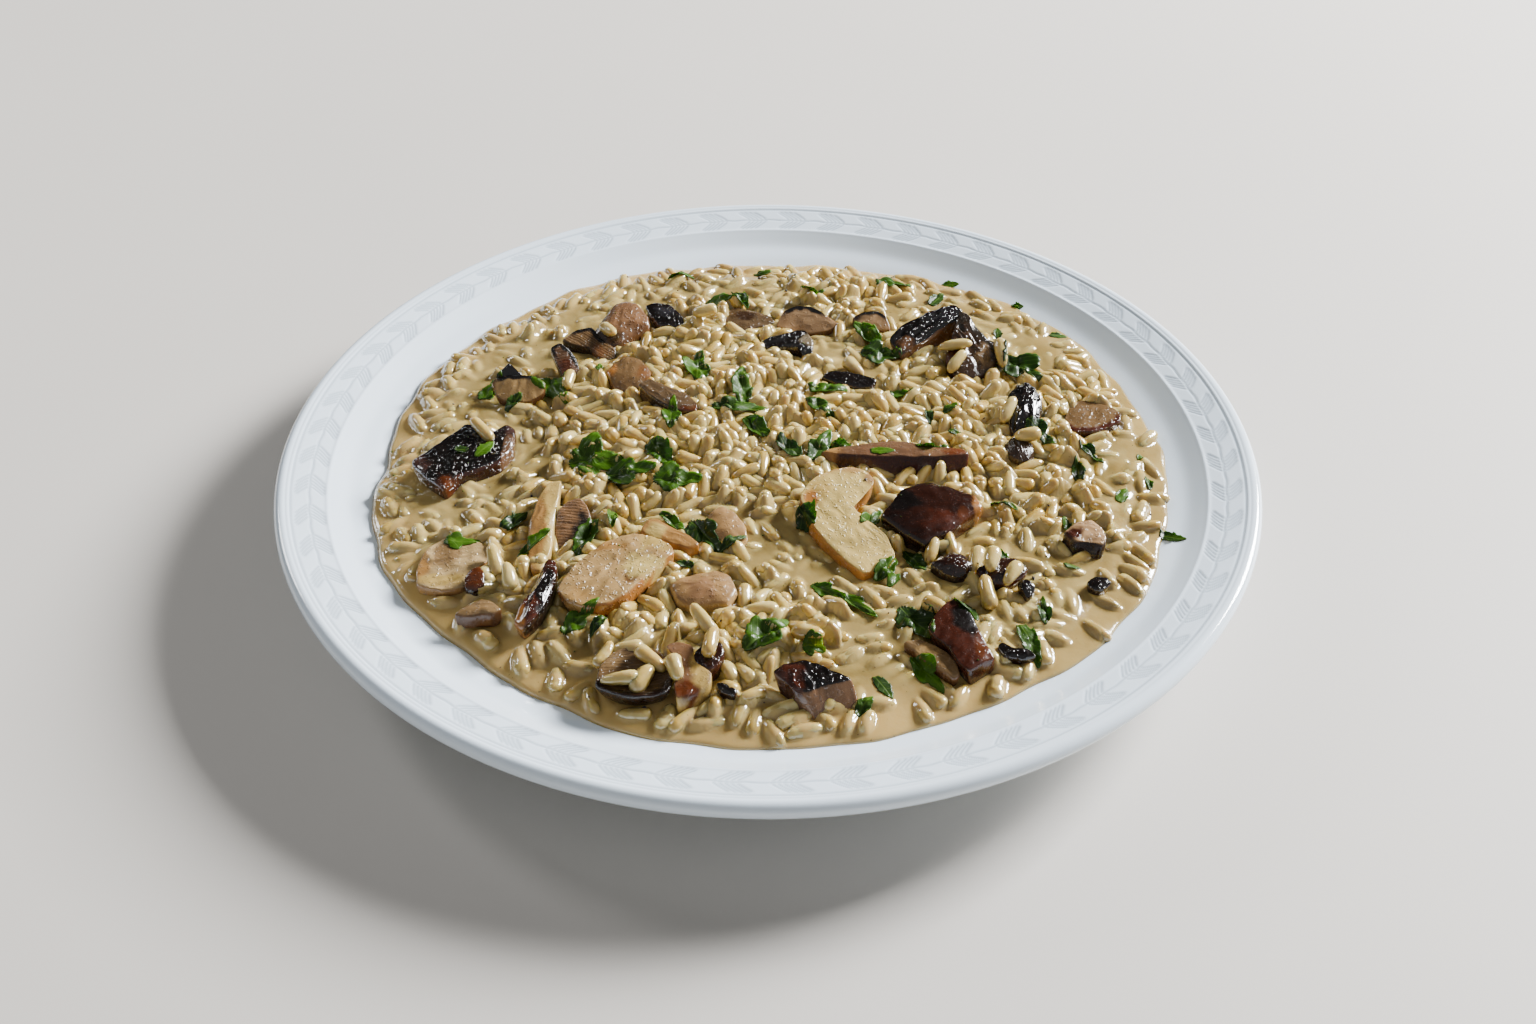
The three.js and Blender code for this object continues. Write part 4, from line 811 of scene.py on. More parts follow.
         fibres=-80, slope=(0, 0.2), round=1.6, dome=0.8, wet=0.7, gills=0.4,
         patches=[(0.5, 3, 3.6, 2, "black")],
         outline=[(-3.8, -3), (-1, -5.5), (2.5, -5), (4.2, -1.5), (3.8, 2), (1, 3.6), (-2.5, 3.8),
                  (-4.4, 1)]),
    dict(name="strip_bean_left", at=(48.9, -55.1), lift=4, thickness=5, top="blackRed", side="blackRed",
         fibres=0, lean=(0, -0.5), dome=0.8, flare=0.85, wet=1,
         outline=[(-3.5, -2.5), (0, -4.5), (3.5, -4), (5.5, 0), (3.5, 3.5), (0, 4.5), (-3.5, 3),
                  (-6.5, 0)]),
    dict(name="strip_bean_right", at=(61.8, -57.7), lift=4, thickness=5, top="blackRed", side="wine",
         fibres=10, lean=(0, -0.5), dome=0.6, flare=0.85, wet=1,
         outline=[(-4.5, -4.5), (1, -5), (5.5, -2), (7, 1), (4.5, 4.5), (0.5, 5), (-3, 3), (-7.5, 0.5)]),
    dict(name="stem_crescent", at=(41.7, -88.7), lift=3.2, thickness=4, top="greyTan", side="brown",
         fibres=-40, lean=(0, -0.5), round=1.2, dome=0.4,
         patches=[(-1.1, 2, 3, 1.9, "tan")],
         outline=[(-5, 1.5), (-1.5, -2), (1.5, -5), (4, -7), (6, -6), (5.5, -2), (3.5, 1.5), (0, 4.5),
                  (-4, 6), (-8, 5)]),
    dict(name="chunk_brown", at=(-74.3, -71.1), lift=3.6, thickness=4, top="greyTan", side="brown",
         fibres=10, lean=(0, -1), round=0.8, dome=0.4, flare=0.92,
         outline=[(-3.5, -2.5), (0.5, -2), (4, -2), (6, -0.5), (3, 2.5), (0, 3.5), (-4, 0.5),
                  (-6.5, -2)]),
    dict(name="curl_gilled", at=(-53.1, -38.6), lift=4, thickness=4, top="pink", side="brown", fibres=-10,
         slope=(0.1, 0.3), round=1, dome=0.3, wet=0.7, gills=0.8,
         patches=[(3.3, -2.7, 2.4, 5.2, "greyBlack")],
         outline=[(-5, -2), (-3.5, -8), (0, -7.5), (3.5, -5), (5.5, -0.5), (4, 5), (1.5, 8), (-2, 7),
                  (-4.5, 4.5)]),
    dict(name="chunk_dark_front", at=(-14.7, -90.6), lift=5.2, thickness=5, top="blackRed", side="wine",
         fibres=0, lean=(0, -1), round=0.9, dome=0.3, flare=0.92, wet=0.9,
         outline=[(0, -5), (2.5, -3), (4, 1), (3, 4.5), (0, 4.5), (-3, 2), (-4.5, -2)]),
    dict(name="lump_soft", at=(-16.6, -65.2), lift=4, thickness=5.5, top="rosyTan", side="tan", fibres=10,
         lean=(0, -0.5), round=2.2, dome=1.2, flare=0.88,
         patches=[(-1, -1, 3.6, 3.8, "pink")],
         outline=[(-7, -4.5), (-2.5, -6.5), (2, -5.5), (6.5, -5.5), (9, -0.5), (7, 5), (3, 7), (-2.5, 5.5),
                  (-6.5, 4), (-9.5, 1.5)]),
    dict(name="lump_pink", at=(-11.2, -39.6), lift=3.4, thickness=5, top="rosyTan", side="tan", fibres=30,
         slope=(0, 0.15), lean=(0, -0.5), dome=0.8, flare=0.88,
         outline=[(-4.5, -3), (-0.5, -5.5), (3.5, -7.5), (6, -4), (5, 1), (2, 5.5), (-1.5, 7.5),
                  (-4.5, 5.5), (-6.5, 1)]),
    dict(name="block_cream", at=(86.2, -42.6), lift=5, thickness=7, top="shell", side="blackRed",
         fibres=-20, lean=(-1, -2), round=0.8, dome=0.3, flare=0.95, drops=0.6,
         patches=[(-3.8, 0, 2.2, 2.4, "wine")],
         outline=[(-4, -3.5), (0, -3.5), (3.5, -5), (5, -2.5), (4.5, 1.5), (2, 5), (-2.5, 4),
                  (-6.5, 0.5)]),
]
mushroomPieces = [{**usualPiece, **piece} for piece in mushroomPieces]

# Small dark bits bedded in the rice: x, y, lift, slope, thickness and outline.
darkBits = [
    (-78.6, 32.6, 5.4, 0.9, 4, [(0, -1.5), (4.5, -1), (0, 2.5), (-2, 1), (-4.5, -1)]),
    (-76.7, -60.8, 4.4, 0.3, 4,
     [(-2.5, -3), (0.5, -4), (2.5, -2), (2.5, 1.5), (1, 4), (-1.5, 3), (-3, 0.5)]),
    (67.4, -64.1, 3.6, 0.2, 3.5, [(-0.5, -3.5), (1.5, -2), (2.5, 0.5), (0.5, 3), (-2.5, 1.5)]),
    (86.9, -60.5, 3, 0.1, 3, [(-2.5, -2), (0, -3), (3.5, 0), (2.5, 2), (-1, 2.5), (-3.5, 0)]),
    (62, -86.3, 2.8, 0.1, 2.5,
     [(-3, -1.5), (2, -2.5), (5.5, -1.5), (3.5, 1), (-0.5, 1.5), (-3, 3.5), (-4.5, 2)]),
    (-10.2, -99.9, 3.4, 0.1, 3, [(-1.5, -1), (2, -2.5), (3, -0.5), (1, 1), (-1.5, 2), (-3, 1.5)]),
]

mushroomMesh = {
    "columns": 96,
    "topRings": 16,
    "edgeRings": 4,
    "sideRings": 6,
    "baseRings": 3,
    "soften": 1.0,        # how far the outline's corners are rounded
    "raggedEdge": 0.16,
    "lumps": 0.22,
    "edgeInset": 0.6,     # how far in the rounded edge goes, in its own radius
    "foldDepth": 2.0,
}


def evenLoop(outline, count, soften):
    # the outline with evenly spaced points and its corners a little softened
    corners = np.array(outline, float)
    steps = np.hypot(*(np.roll(corners, -1, axis=0) - corners).T)
    along = np.concatenate([[0], np.cumsum(steps)])
    places = np.arange(count) / count * along[-1]
    closed = np.concatenate([corners, corners[:1]])
    loop = np.stack([np.interp(places, along, closed[:, k]) for k in (0, 1)], axis=1)
    reach = soften / (along[-1] / count)
    offsets = np.arange(-int(3 * reach) - 1, int(3 * reach) + 2)
    weights = np.exp(-(offsets / max(reach, 0.3)) ** 2)
    return sum(np.roll(loop, k, axis=0) * w for k, w in zip(offsets, weights)) / weights.sum()


def fromOutline(points, outline):
    # distance of each point to the outline, and the outline's nearest point
    corners = np.array(outline, float)
    starts, ends = corners, np.roll(corners, -1, axis=0)
    run = ends - starts
    share = ((points[:, None] - starts) * run).sum(axis=2) / (run ** 2).sum(axis=1)
    feet = starts + run * np.clip(share, 0, 1)[..., None]
    gaps = np.hypot(*(points[:, None] - feet).transpose(2, 0, 1))
    nearest = gaps.argmin(axis=1)
    rows = np.arange(len(points))
    return gaps[rows, nearest], feet[rows, nearest]


def insideOutline(points, outline):
    corners = np.array(outline, float)
    x1, y1 = corners.T
    x2, y2 = np.roll(corners, -1, axis=0).T
    px, py = points[:, :1], points[:, 1:]
    crosses = ((y1 > py) != (y2 > py)) & (px < (x2 - x1) * (py - y1) / (y2 - y1 + 1e-9) + x1)
    return crosses.sum(axis=1) % 2 == 1


def paintMushroom(piece, flat, onTop, down):
    # colour of each point: flat is x, y in the piece, down how far below its top it lies
    color = lambda name: np.array(linear(*mushroomColors[name])[:3])
    draw = np.random.RandomState(int(abs(piece["at"][0]) * 10))
    shift = draw.uniform(0, 40, 2)
    px, py = flat[:, 0] + shift[0], flat[:, 1] + shift[1] + down
    blotch = lambda size, seed: cloud(px, py, size, seed) - 0.5
    sideShare = smoothStep(0.25, 0.75, (1 - onTop) + 0.25 * blotch(1.6, 4))[:, None]
    tint = color(piece["top"]) * (1 - sideShare) + color(piece["side"]) * sideShare
    for x, y, halfLength, halfWidth, name in piece.get("patches", []):
        away = np.hypot((flat[:, 0] - x) / halfLength, (flat[:, 1] - y) / halfWidth)
        share = (1 - smoothStep(0.65, 1.3, away + 0.9 * blotch(2.2, 5)))[:, None]
        tint = tint * (1 - share) + color(name) * share
    if "rim" in piece:
        name, width, dx, dy = piece["rim"]
        gaps, _ = fromOutline(flat, piece["outline"])
        turned = (flat[:, 0] * dx + flat[:, 1] * dy) / (np.hypot(*flat.T) * math.hypot(dx, dy) + 0.1)
        facing = smoothStep(0.0, 0.4, turned)
        inner = smoothStep(width * 0.7, width * 1.15, gaps + 0.7 * blotch(1.5, 6))
        share = (facing * (1 - inner))[:, None]
        tint = tint * (1 - share) + color(name) * share
    shade = 1 + 0.34 * blotch(5.0, 7) + 0.26 * blotch(1.7, 8)
    return tint * shade[:, None]


def mushroomForm(piece):
    # points, quads, triangles and the attributes of one piece
    shape = mushroomMesh
    columns = shape["columns"]
    outline = evenLoop(piece["outline"], columns, shape["soften"])
    angle = np.arange(columns) / columns * fullTurn
    seed = int(abs(piece["at"][0] * 7 + piece["at"][1] * 3)) % 997
    wave = sum(np.sin(k * angle + seed * k) / k for k in (7, 11, 17, 23)) * shape["raggedEdge"]
    radius = np.hypot(*outline.T)
    outline = outline * (1 + wave / np.maximum(radius, 3))[:, None]
    thickness, lean, edge = piece["thickness"], np.array(piece["lean"]), piece["round"]
    slope = np.array(piece["slope"])
    topHeight = float(heapHeight(*piece["at"])) + piece["lift"]
    flat, heights, tops, depths = [], [], [], []

    def ring(scale, inset, depth, onTop, dome=0.0):
        share = depth / thickness
        narrow = 1 + (piece["flare"] - 1) * share
        level = outline * (scale * narrow * (1 - inset / np.maximum(radius, 1.5)))[:, None]
        bulge = 0.25 * math.sin(math.pi * share) if onTop < 1 else 0.0
        level = level * (1 + bulge / np.maximum(radius, 3))[:, None]
        flat.append(level + lean * share)
        heights.append(topHeight + level @ slope - depth + dome)
        tops.append(np.full(columns, onTop))
        depths.append(np.full(columns, depth))

    for scale in np.linspace(0.25, 1.0, shape["baseRings"]):
        ring(scale, 0.0, thickness, 0.0)
    for depth in np.linspace(thickness, edge, shape["sideRings"] + 1)[1:]:
        ring(1.0, 0.0, depth, 0.0)
    for turn in np.linspace(0, math.pi / 2, shape["edgeRings"] + 1)[1:]:
        inset = edge * shape["edgeInset"] * (1 - math.cos(turn))
        ring(1.0, inset, edge * (1 - math.sin(turn)), smoothStep(0.2, 0.9, turn / (math.pi / 2)))
    for scale in np.linspace(1.0, 0.0, shape["topRings"] + 1)[1:-1]:
        ring(scale, edge * shape["edgeInset"] * scale, 0.0, 1.0, piece["dome"] * (1 - scale ** 2))
    rings = len(flat)
    middle = [np.array([lean]), np.zeros((1, 2))]
    flat = np.concatenate(flat + middle)
    heights = np.concatenate(heights + [[topHeight - thickness], [topHeight + piece["dome"]]])
    tops = np.concatenate(tops + [[0.0], [1.0]])
    depths = np.concatenate(depths + [[thickness], [0.0]])
    lump = lambda size, number: cloud(flat[:, 0] + seed, flat[:, 1] + depths, size, number) - 0.5
    heights = heights + shape["lumps"] * (2.0 * lump(4.5, 20) + 0.9 * lump(1.8, 21)) * (0.4 + 0.6 * tops)
    heading = math.radians(piece["fibres"])
    along = flat[:, 0] * math.cos(heading) + flat[:, 1] * math.sin(heading)
    across = flat[:, 1] * math.cos(heading) - flat[:, 0] * math.sin(heading)
    fold = 1 - 2 * np.abs(cloud(along * 0.3 + seed, across + 1.5 * lump(3.0, 24), 1.7, 23) - 0.5)
    heights = heights + shape["foldDepth"] * piece["creases"] * (fold - 0.6) * (0.3 + 0.7 * tops)
    flat = flat + (shape["lumps"] * 1.2 * (1 - tops) * lump(2.4, 22))[:, None] * flat / (
        np.hypot(*flat.T)[:, None] + 0.5)
    tint = paintMushroom(piece, flat, tops, depths)
    count = rings * columns
    quads = [bandFaces(k * columns, (k + 1) * columns, columns) for k in range(rings - 1)]
    caps = [fanFaces(0, columns, count, flip=True), fanFaces(count - columns, columns, count + 1)]
    attributes = {"tint": np.clip(tint, 0, 1), "wet": np.full(count + 2, piece["wet"]),
                  "drops": np.full(count + 2, piece.get("drops", 0.5 * piece["wet"])),
                  "gills": np.full(count + 2, piece["gills"]), "along": along + seed,
                  "across": across, "depth": depths}
    return (np.column_stack([flat + np.array(piece["at"]), heights]), np.concatenate(quads),
            np.concatenate(caps), attributes)


def makeMushroom(piece):
    points, quads, caps, attributes = mushroomForm(piece)
    return newPiece(f"mushroom_{piece['name']}", points, [quads, caps], mushroomMaterial,
                    [piece["name"]], attributes)


mushrooms = [makeMushroom(piece) for piece in mushroomPieces]


def makeDarkBits():
    # the bits are one piece
    points, quads, caps, attributes = [], [], [], []
    count = 0
    for index, (x, y, lift, slope, thickness, outline) in enumerate(darkBits):
        entry = dict(at=(x, y), lift=lift, slope=(0, slope), thickness=thickness, lean=(0, 0), round=0.8,
                     dome=0.3, flare=0.85, top="redBrown" if index == 1 else "black", side="blackRed",
                     fibres=25 * index, wet=1.0, outline=outline)
        form = mushroomForm({**usualPiece, **entry})
        points.append(form[0])
        quads.append(form[1] + count)
        caps.append(form[2] + count)
        attributes.append(form[3])
        count += len(form[0])
    together = {key: np.concatenate([part[key] for part in attributes]) for key in attributes[0]}
    return newPiece("mushroomBits", np.concatenate(points), [np.concatenate(quads), np.concatenate(caps)],
                    mushroomMaterial, attributes=together)


mushrooms.append(makeDarkBits())
print("mushrooms made:", len(mushrooms))


grainShape = {
    "halfLength": 4.55,
    "halfWidth": 2.02,
    "lengthSpread": 0.2,
    "widthSpread": 0.12,
    "flatness": 0.93,      # its height to its width
    "bend": (-0.5, 0.9),
    "oneSided": (-0.24, 0.24),    # how much thicker one end is
    "blunt": (3.2, 5.0),
    "furrow": 0.08,
    "rings": 8,
    "sides": 9,
    "kinds": 8,
}
packing = {
    "bedCount": 960,
    "upperCount": 560,
    "mostGrains": 1370,     # in the bed, once its holes are filled
    "span": 115,            # grains are drawn from a square of this half width
    "drawn": 4000,
    "rounds": 20,
    "push": 0.28,
    "circleRadius": 1.95,   # a grain is packed as three circles
    "circleReach": 2.2,
    "mushroomRoom": 1.7,
    "raggedEdge": 3,        # how far the heap's outline wanders
    "fillTries": 9000,
    "fillGap": 1.62,        # room a grain needs to be put in a hole, in circle radii
    "bedSteep": 0.24,       # share of grains that stand steep
    "upperSteep": 0.45,
    "bedSpread": 0.2,       # how far the others lean
    "upperSpread": 0.28,
    "bedScatter": (-0.9, 0.8),    # up and down, in millimetres
    "upperScatter": (-0.7, 0.6),
    "bedHeave": 1.6,
    "upperHeave": 1.2,
    "upperLift": 1.6,
    "flatZone": (15, 8),    # from the sauce's edge: here the grains begin to lie flat
    "flatSink": 1.6,        # and the upper ones sink by this
}
# Where more or less sauce stands over the rice: x, y, radius, amount.
wetPlaces = [
    (-96, 22, 34, 1), (-70, 74, 36, 1), (-96, -20, 24, 0.8), (20, 104, 24, 0.3), (72, 84, 26, 0.45),
    (42, -58, 34, 0.3), (80, -56, 28, 0.2), (-12, -62, 22, 0.3), (70, 52, 18, 0.5), (22, 50, 14, 0.4),
    (84, 10, 16, 0.15), (104, -20, 18, 0.1), (-62, -82, 20, 0.6), (30, -96, 24, 0.5), (-14, -32, 16, 0.5),
    (16, -58, 14, 0.6), (60, -40, 14, 0.3), (-34, 9, 26, -0.9), (-6, -7, 20, -0.6), (-21, 50, 20, -0.4),
    (22, 79, 18, -0.4), (96, 38, 14, -0.5), (-2, -80, 16, -0.5), (2, 84, 12, 0.65), (-20, 35, 9, 0.65),
    (16, 45, 10, 0.65), (31, 39, 11, 0.65), (-16, 88, 9, 0.65), (-42, 78, 9, 0.65),
]
sauceShape = {
    "rings": 174,
    "wetness": 0.22,
    "edgeWetness": 0.5,
    "patchWetness": 0.5,
    "levels": [(0.0, -2.6), (0.1, -0.4), (0.3, 0.5), (1.0, 0.9)],  # wetness, height over the heap
    "film": 0.14,          # film over wet grains
    "bareUnder": 0.5,      # how far below a dry grain's skin the sauce stays
    "filmFrom": (0.35, 0.75),
    "blend": 0.8,          # how round the sauce climbs a grain
    "bankBlend": 1.2,
    "edgeRound": 0.5,      # how fast the edge rises off the plate
    "edgeHeight": 0.5,
    "leftSwell": 1.8,      # how much taller the edge is at the left
    "bankSlope": 0.15,     # the margin's slope
    "flatBank": 8.0,       # and how wide it is before innerSlope is added
    "innerSlope": 0.17,
    "edgeZone": 3.0,
    "edgeClimb": 0.7,
    "grainReach": 6.5,
    "overPlate": 0.04,     # least height over the plate
    "underGap": 0.06,
    "underRings": (0.96, 0.9, 0.82, 0.74),
}


def wetness(x, y):
    total = sauceShape["wetness"] + sauceShape["edgeWetness"] * smoothStep(88, 112, np.hypot(x, y))
    total = total + sauceShape["patchWetness"] * (cloud(x, y, 16.0, 3) - 0.5)
    for wx, wy, radius, amount in wetPlaces:
        total = total + amount * np.exp(-((x - wx) ** 2 + (y - wy) ** 2) / radius ** 2)
    return np.clip(total, 0, 1)


def bankHeight(x, y):
    # the sauce's margin: a round edge on the plate, then a slope
    shape = sauceShape
    angle = np.arctan2(y, x)
    edge = sauceRadius(angle)
    fromEdge = edge - np.hypot(x, y)
    tall = shape["edgeHeight"] * (1 + shape["leftSwell"] * smoothStep(-10, -80, x))
    rise = tall * (1 - np.exp(-np.clip(fromEdge, 0, None) / shape["edgeRound"]))
    inward = np.clip(fromEdge - shape["flatBank"], 0, None)
    slope = shape["bankSlope"] * fromEdge + shape["innerSlope"] * inward
    return plateTopAt(edge) + shape["overPlate"] + rise + slope


def pushOffMushrooms(x, y):
    # moves points out of the mushrooms' outlines
    room = packing["mushroomRoom"]
    for piece in mushroomPieces:
        cx, cy = piece["at"]
        reach = max(math.hypot(*corner) for corner in piece["outline"]) + room
        near = np.nonzero(np.hypot(x - cx, y - cy) < reach)[0]
        if not len(near):
            continue
        points = np.stack([x[near] - cx, y[near] - cy], axis=1)
        gaps, feet = fromOutline(points, piece["outline"])
        inside = insideOutline(points, piece["outline"])
        signed = np.where(inside, -gaps, gaps)
        close = signed < room
        away = (points - feet) * np.where(inside, -1, 1)[:, None] / (gaps[:, None] + 1e-6)
        move = (away * np.minimum(room - signed, 3.0)[:, None] * 0.6)[close]
        x[near[close]] += move[:, 0]
        y[near[close]] += move[:, 1]


def marginLimit(angle):
    # how far out a grain's middle may lie
    return np.minimum(riceRadius(angle) + 2.0, sauceRadius(angle) - 4.2 + 0.7 * np.cos(angle))


def packGrains(count, keep, seed):
    # scatters grains and pushes them apart until they lie side by side
    draw = np.random.RandomState(seed)
    span, drawn = packing["span"], packing["drawn"]
    x, y = np.zeros(0), np.zeros(0)
    while len(x) < count:
        tx, ty = draw.uniform(-span, span, drawn), draw.uniform(-span, span, drawn)
        good = np.hypot(tx, ty) < riceRadius(np.arctan2(ty, tx)) - 1.5
        good &= draw.rand(drawn) < keep(tx, ty)
        x, y = np.append(x, tx[good]), np.append(y, ty[good])
    x, y = x[:count].copy(), y[:count].copy()
    heading = draw.uniform(0, math.pi, count)
    wander = draw.uniform(0, packing["raggedEdge"], count)
    reach, radius = packing["circleReach"], packing["circleRadius"]
    offsets = np.array([-reach, 0.0, reach])
    for _ in range(packing["rounds"]):
        cx = (x[:, None] + offsets * np.cos(heading)[:, None]).ravel()
        cy = (y[:, None] + offsets * np.sin(heading)[:, None]).ravel()
        tree = kdtree.KDTree(len(cx))
        for i in range(len(cx)):
            tree.insert((cx[i], cy[i], 0.0), i)
        tree.balance()
        pairs = [(i, found[1]) for i in range(len(cx))
                 for found in tree.find_range((cx[i], cy[i], 0.0), 2 * radius) if i // 3 < found[1] // 3]
        first, second = np.array(pairs).T
        dx, dy = cx[first] - cx[second], cy[first] - cy[second]
        distance = np.hypot(dx, dy) + 1e-6
        push = packing["push"] * (2 * radius - distance) / distance
        moveX, moveY = np.zeros(len(cx)), np.zeros(len(cx))
        np.add.at(moveX, first, dx * push)
        np.add.at(moveY, first, dy * push)
        np.add.at(moveX, second, -dx * push)
        np.add.at(moveY, second, -dy * push)
        movedX, movedY = cx + moveX, cy + moveY
        pushOffMushrooms(movedX, movedY)
        movedX, movedY = movedX.reshape(-1, 3), movedY.reshape(-1, 3)
        x, y = movedX.mean(axis=1), movedY.mean(axis=1)
        heading = np.arctan2(movedY[:, 2] - movedY[:, 0], movedX[:, 2] - movedX[:, 0])
        angle = np.arctan2(y, x)
        limit = marginLimit(angle) - wander
        over = np.hypot(x, y) > limit
        x[over], y[over] = limit[over] * np.cos(angle[over]), limit[over] * np.sin(angle[over])
    return x, y, heading


def fillHoles(x, y, heading, seed):
    # puts more grains where the packing has left a hole
    draw = np.random.RandomState(seed)
    tries, span, reach = packing["fillTries"], packing["span"], packing["circleReach"]
    offsets = np.array([-reach, 0.0, reach])

    def circles(x, y, heading):
        cos, sin = np.cos(heading)[:, None], np.sin(heading)[:, None]
        return x[:, None] + offsets * cos, y[:, None] + offsets * sin

    tx, ty = draw.uniform(-span, span, tries), draw.uniform(-span, span, tries)
    turn = draw.uniform(0, math.pi, tries)
    angle = np.arctan2(ty, tx)
    cx, cy = circles(tx, ty, turn)
    movedX, movedY = cx.ravel().copy(), cy.ravel().copy()
    pushOffMushrooms(movedX, movedY)
    free = (np.hypot(movedX - cx.ravel(), movedY - cy.ravel()) < 0.3).reshape(-1, 3).all(axis=1)
    free &= np.hypot(tx, ty) < marginLimit(angle)
    takenX, takenY = (list(values.ravel()) for values in circles(x, y, heading))
    chosen = []
    for i in np.nonzero(free)[0]:
        if len(x) + len(chosen) >= packing["mostGrains"]:
            break
        gaps = np.hypot(np.array(takenX) - cx[i][:, None], np.array(takenY) - cy[i][:, None])
        if gaps.min() > packing["fillGap"] * packing["circleRadius"]:
            chosen.append(i)
            takenX += list(cx[i])
            takenY += list(cy[i])
    return np.append(x, tx[chosen]), np.append(y, ty[chosen]), np.append(heading, turn[chosen])


def grainTemplate(kind):
    # one cooked grain, its length along X, blunt, with a slight bend and a faint furrow
    draw = np.random.RandomState(40 + kind)
    rings, sides = grainShape["rings"], grainShape["sides"]
    bend, lean, blunt = (draw.uniform(*grainShape[key]) for key in ("bend", "oneSided", "blunt"))
    points = []
    for ring in range(1, rings + 1):
        x = -math.cos(ring / (rings + 1) * math.pi)
        x = math.copysign(abs(x) ** 0.85, x)
        radius = (1 - abs(x) ** blunt) ** 0.5 * (1 + lean * x)
        for side in range(sides):
            theta = side / sides * fullTurn
            furrow = 1 - grainShape["furrow"] * math.exp(-((theta - math.pi / 2) / 0.45) ** 2)
            lump = 1 + 0.06 * math.sin(2.9 * x + 2 * theta + 1.7 * kind) + 0.03 * math.sin(6 * x + kind)
            points.append((x, radius * math.cos(theta) * lump, radius * math.sin(theta) * furrow * lump
                           - bend * 0.35 * x * x))
    points += [(-1.0, 0.0, -bend * 0.35), (1.0, 0.0, -bend * 0.35)]
    faces = []
    for ring in range(rings - 1):
        for side in range(sides):
            a, b = ring * sides + side, ring * sides + (side + 1) % sides
            faces += [(a, b + sides, b), (a, a + sides, b + sides)]
    last = (rings - 1) * sides
    for side in range(sides):
        faces.append((rings * sides, side, (side + 1) % sides))
        faces.append((rings * sides + 1, last + (side + 1) % sides, last + side))
    return np.array(points), np.array(faces)


grainTemplates = [grainTemplate(kind) for kind in range(grainShape["kinds"])]


class Grains:
    # a crowd of grains: places, turns and sizes
    def __init__(self, x, y, z, heading, pitch, seed):
        draw = np.random.RandomState(seed)
        count = len(x)
        self.x, self.y, self.z, self.heading, self.pitch = x, y, z, heading, pitch
        self.roll = draw.uniform(0, fullTurn, count)
        longer, wider = grainShape["lengthSpread"], grainShape["widthSpread"]
        self.halfLength = grainShape["halfLength"] * draw.uniform(1 - longer, 1 + longer, count)
        self.halfWidth = grainShape["halfWidth"] * draw.uniform(1 - wider, 1 + wider, count)
        self.tone = draw.rand(count)
        self.kind = draw.randint(0, grainShape["kinds"], count)

    def mesh(self, name, material, replaces=()):
        points, faces, tones, lows = [], [], [], []
        count = 0
        for i in range(len(self.x)):
            shape, triangles = grainTemplates[self.kind[i]]
            size = self.halfWidth[i] * np.array([1, 1, grainShape["flatness"]])
            size[0] = self.halfLength[i]
            spin = Euler((self.roll[i], 0, 0)).to_matrix()
            turn = Euler((0, -self.pitch[i], self.heading[i]), "XYZ").to_matrix()
            rotation = np.array(turn @ spin)
            placed = (shape * size) @ rotation.T
            points.append(placed + (self.x[i], self.y[i], self.z[i]))
            # low marks the lower side of each grain, where the painted shade goes
            lows.append(np.clip(0.5 - placed[:, 2] / 3.6, 0, 1))
            faces.append(triangles + count)
            tones.append(np.full(len(shape), self.tone[i]))
            count += len(shape)
        return newPiece(name, np.concatenate(points), [np.concatenate(faces)], material, replaces,
                        {"tone": np.concatenate(tones), "low": np.concatenate(lows)})


def leanOf(count, steepShare, spread, seed):
    # how far each grain leans: most lie nearly flat, some stand steep
    draw = np.random.RandomState(seed)
    steep = draw.uniform(0.45, 1.15, count) * draw.choice([-1, 1], count)
    return np.where(draw.rand(count) < steepShare, steep, draw.normal(0, spread, count))


def nearEdge(x, y):
    # 1 in the dish, 0.1 at the sauce's edge, where the grains lie flat
    return 1 - 0.9 * smoothStep(*packing["flatZone"], sauceRadius(np.arctan2(y, x)) - np.hypot(x, y))


rng = np.random.RandomState(7)
bx, by, bedHeading = fillHoles(*packGrains(packing["bedCount"], lambda x, y: np.ones(len(x)), 5), 6)
bedWet = wetness(bx, by)
heave = packing["bedHeave"] * (cloud(bx, by, 9.0, 30) - 0.5)
bedZ = heapHeight(bx, by) + heave + rng.uniform(*packing["bedScatter"], len(bx)) - 0.8 * bedWet + 0.15
bedZ = np.minimum(bedZ, bankHeight(bx, by) - 0.25 + rng.uniform(-0.3, 0.3, len(bx)))
bedZ = np.maximum(bedZ, plateTopAt(np.hypot(bx, by)) + 1.8)
bedPitch = leanOf(len(bx), packing["bedSteep"], packing["bedSpread"], 15)
bedPitch = bedPitch * (1 - 0.4 * bedWet) * nearEdge(bx, by)
bedGrains = Grains(bx, by, bedZ, bedHeading, bedPitch, 21)
print("bed packed:", len(bx))

drier = lambda x, y: np.clip(0.9 - 1.6 * wetness(x, y), 0.02, 1)
ux, uy, upperHeading = packGrains(packing["upperCount"], drier, 9)
heave = packing["upperHeave"] * (cloud(ux, uy, 9.0, 30) - 0.5)
scatter = rng.uniform(*packing["upperScatter"], len(ux))
upperZ = heapHeight(ux, uy) + packing["upperLift"] + heave + scatter - 0.9 * wetness(ux, uy)
upperZ = np.minimum(upperZ, bankHeight(ux, uy) + 0.9) - packing["flatSink"] * (1 - nearEdge(ux, uy))
upperPitch = leanOf(len(ux), packing["upperSteep"], packing["upperSpread"], 16) * nearEdge(ux, uy)
upperGrains = Grains(ux, uy, upperZ, upperHeading, upperPitch, 22)
print("upper grains packed:", len(ux))


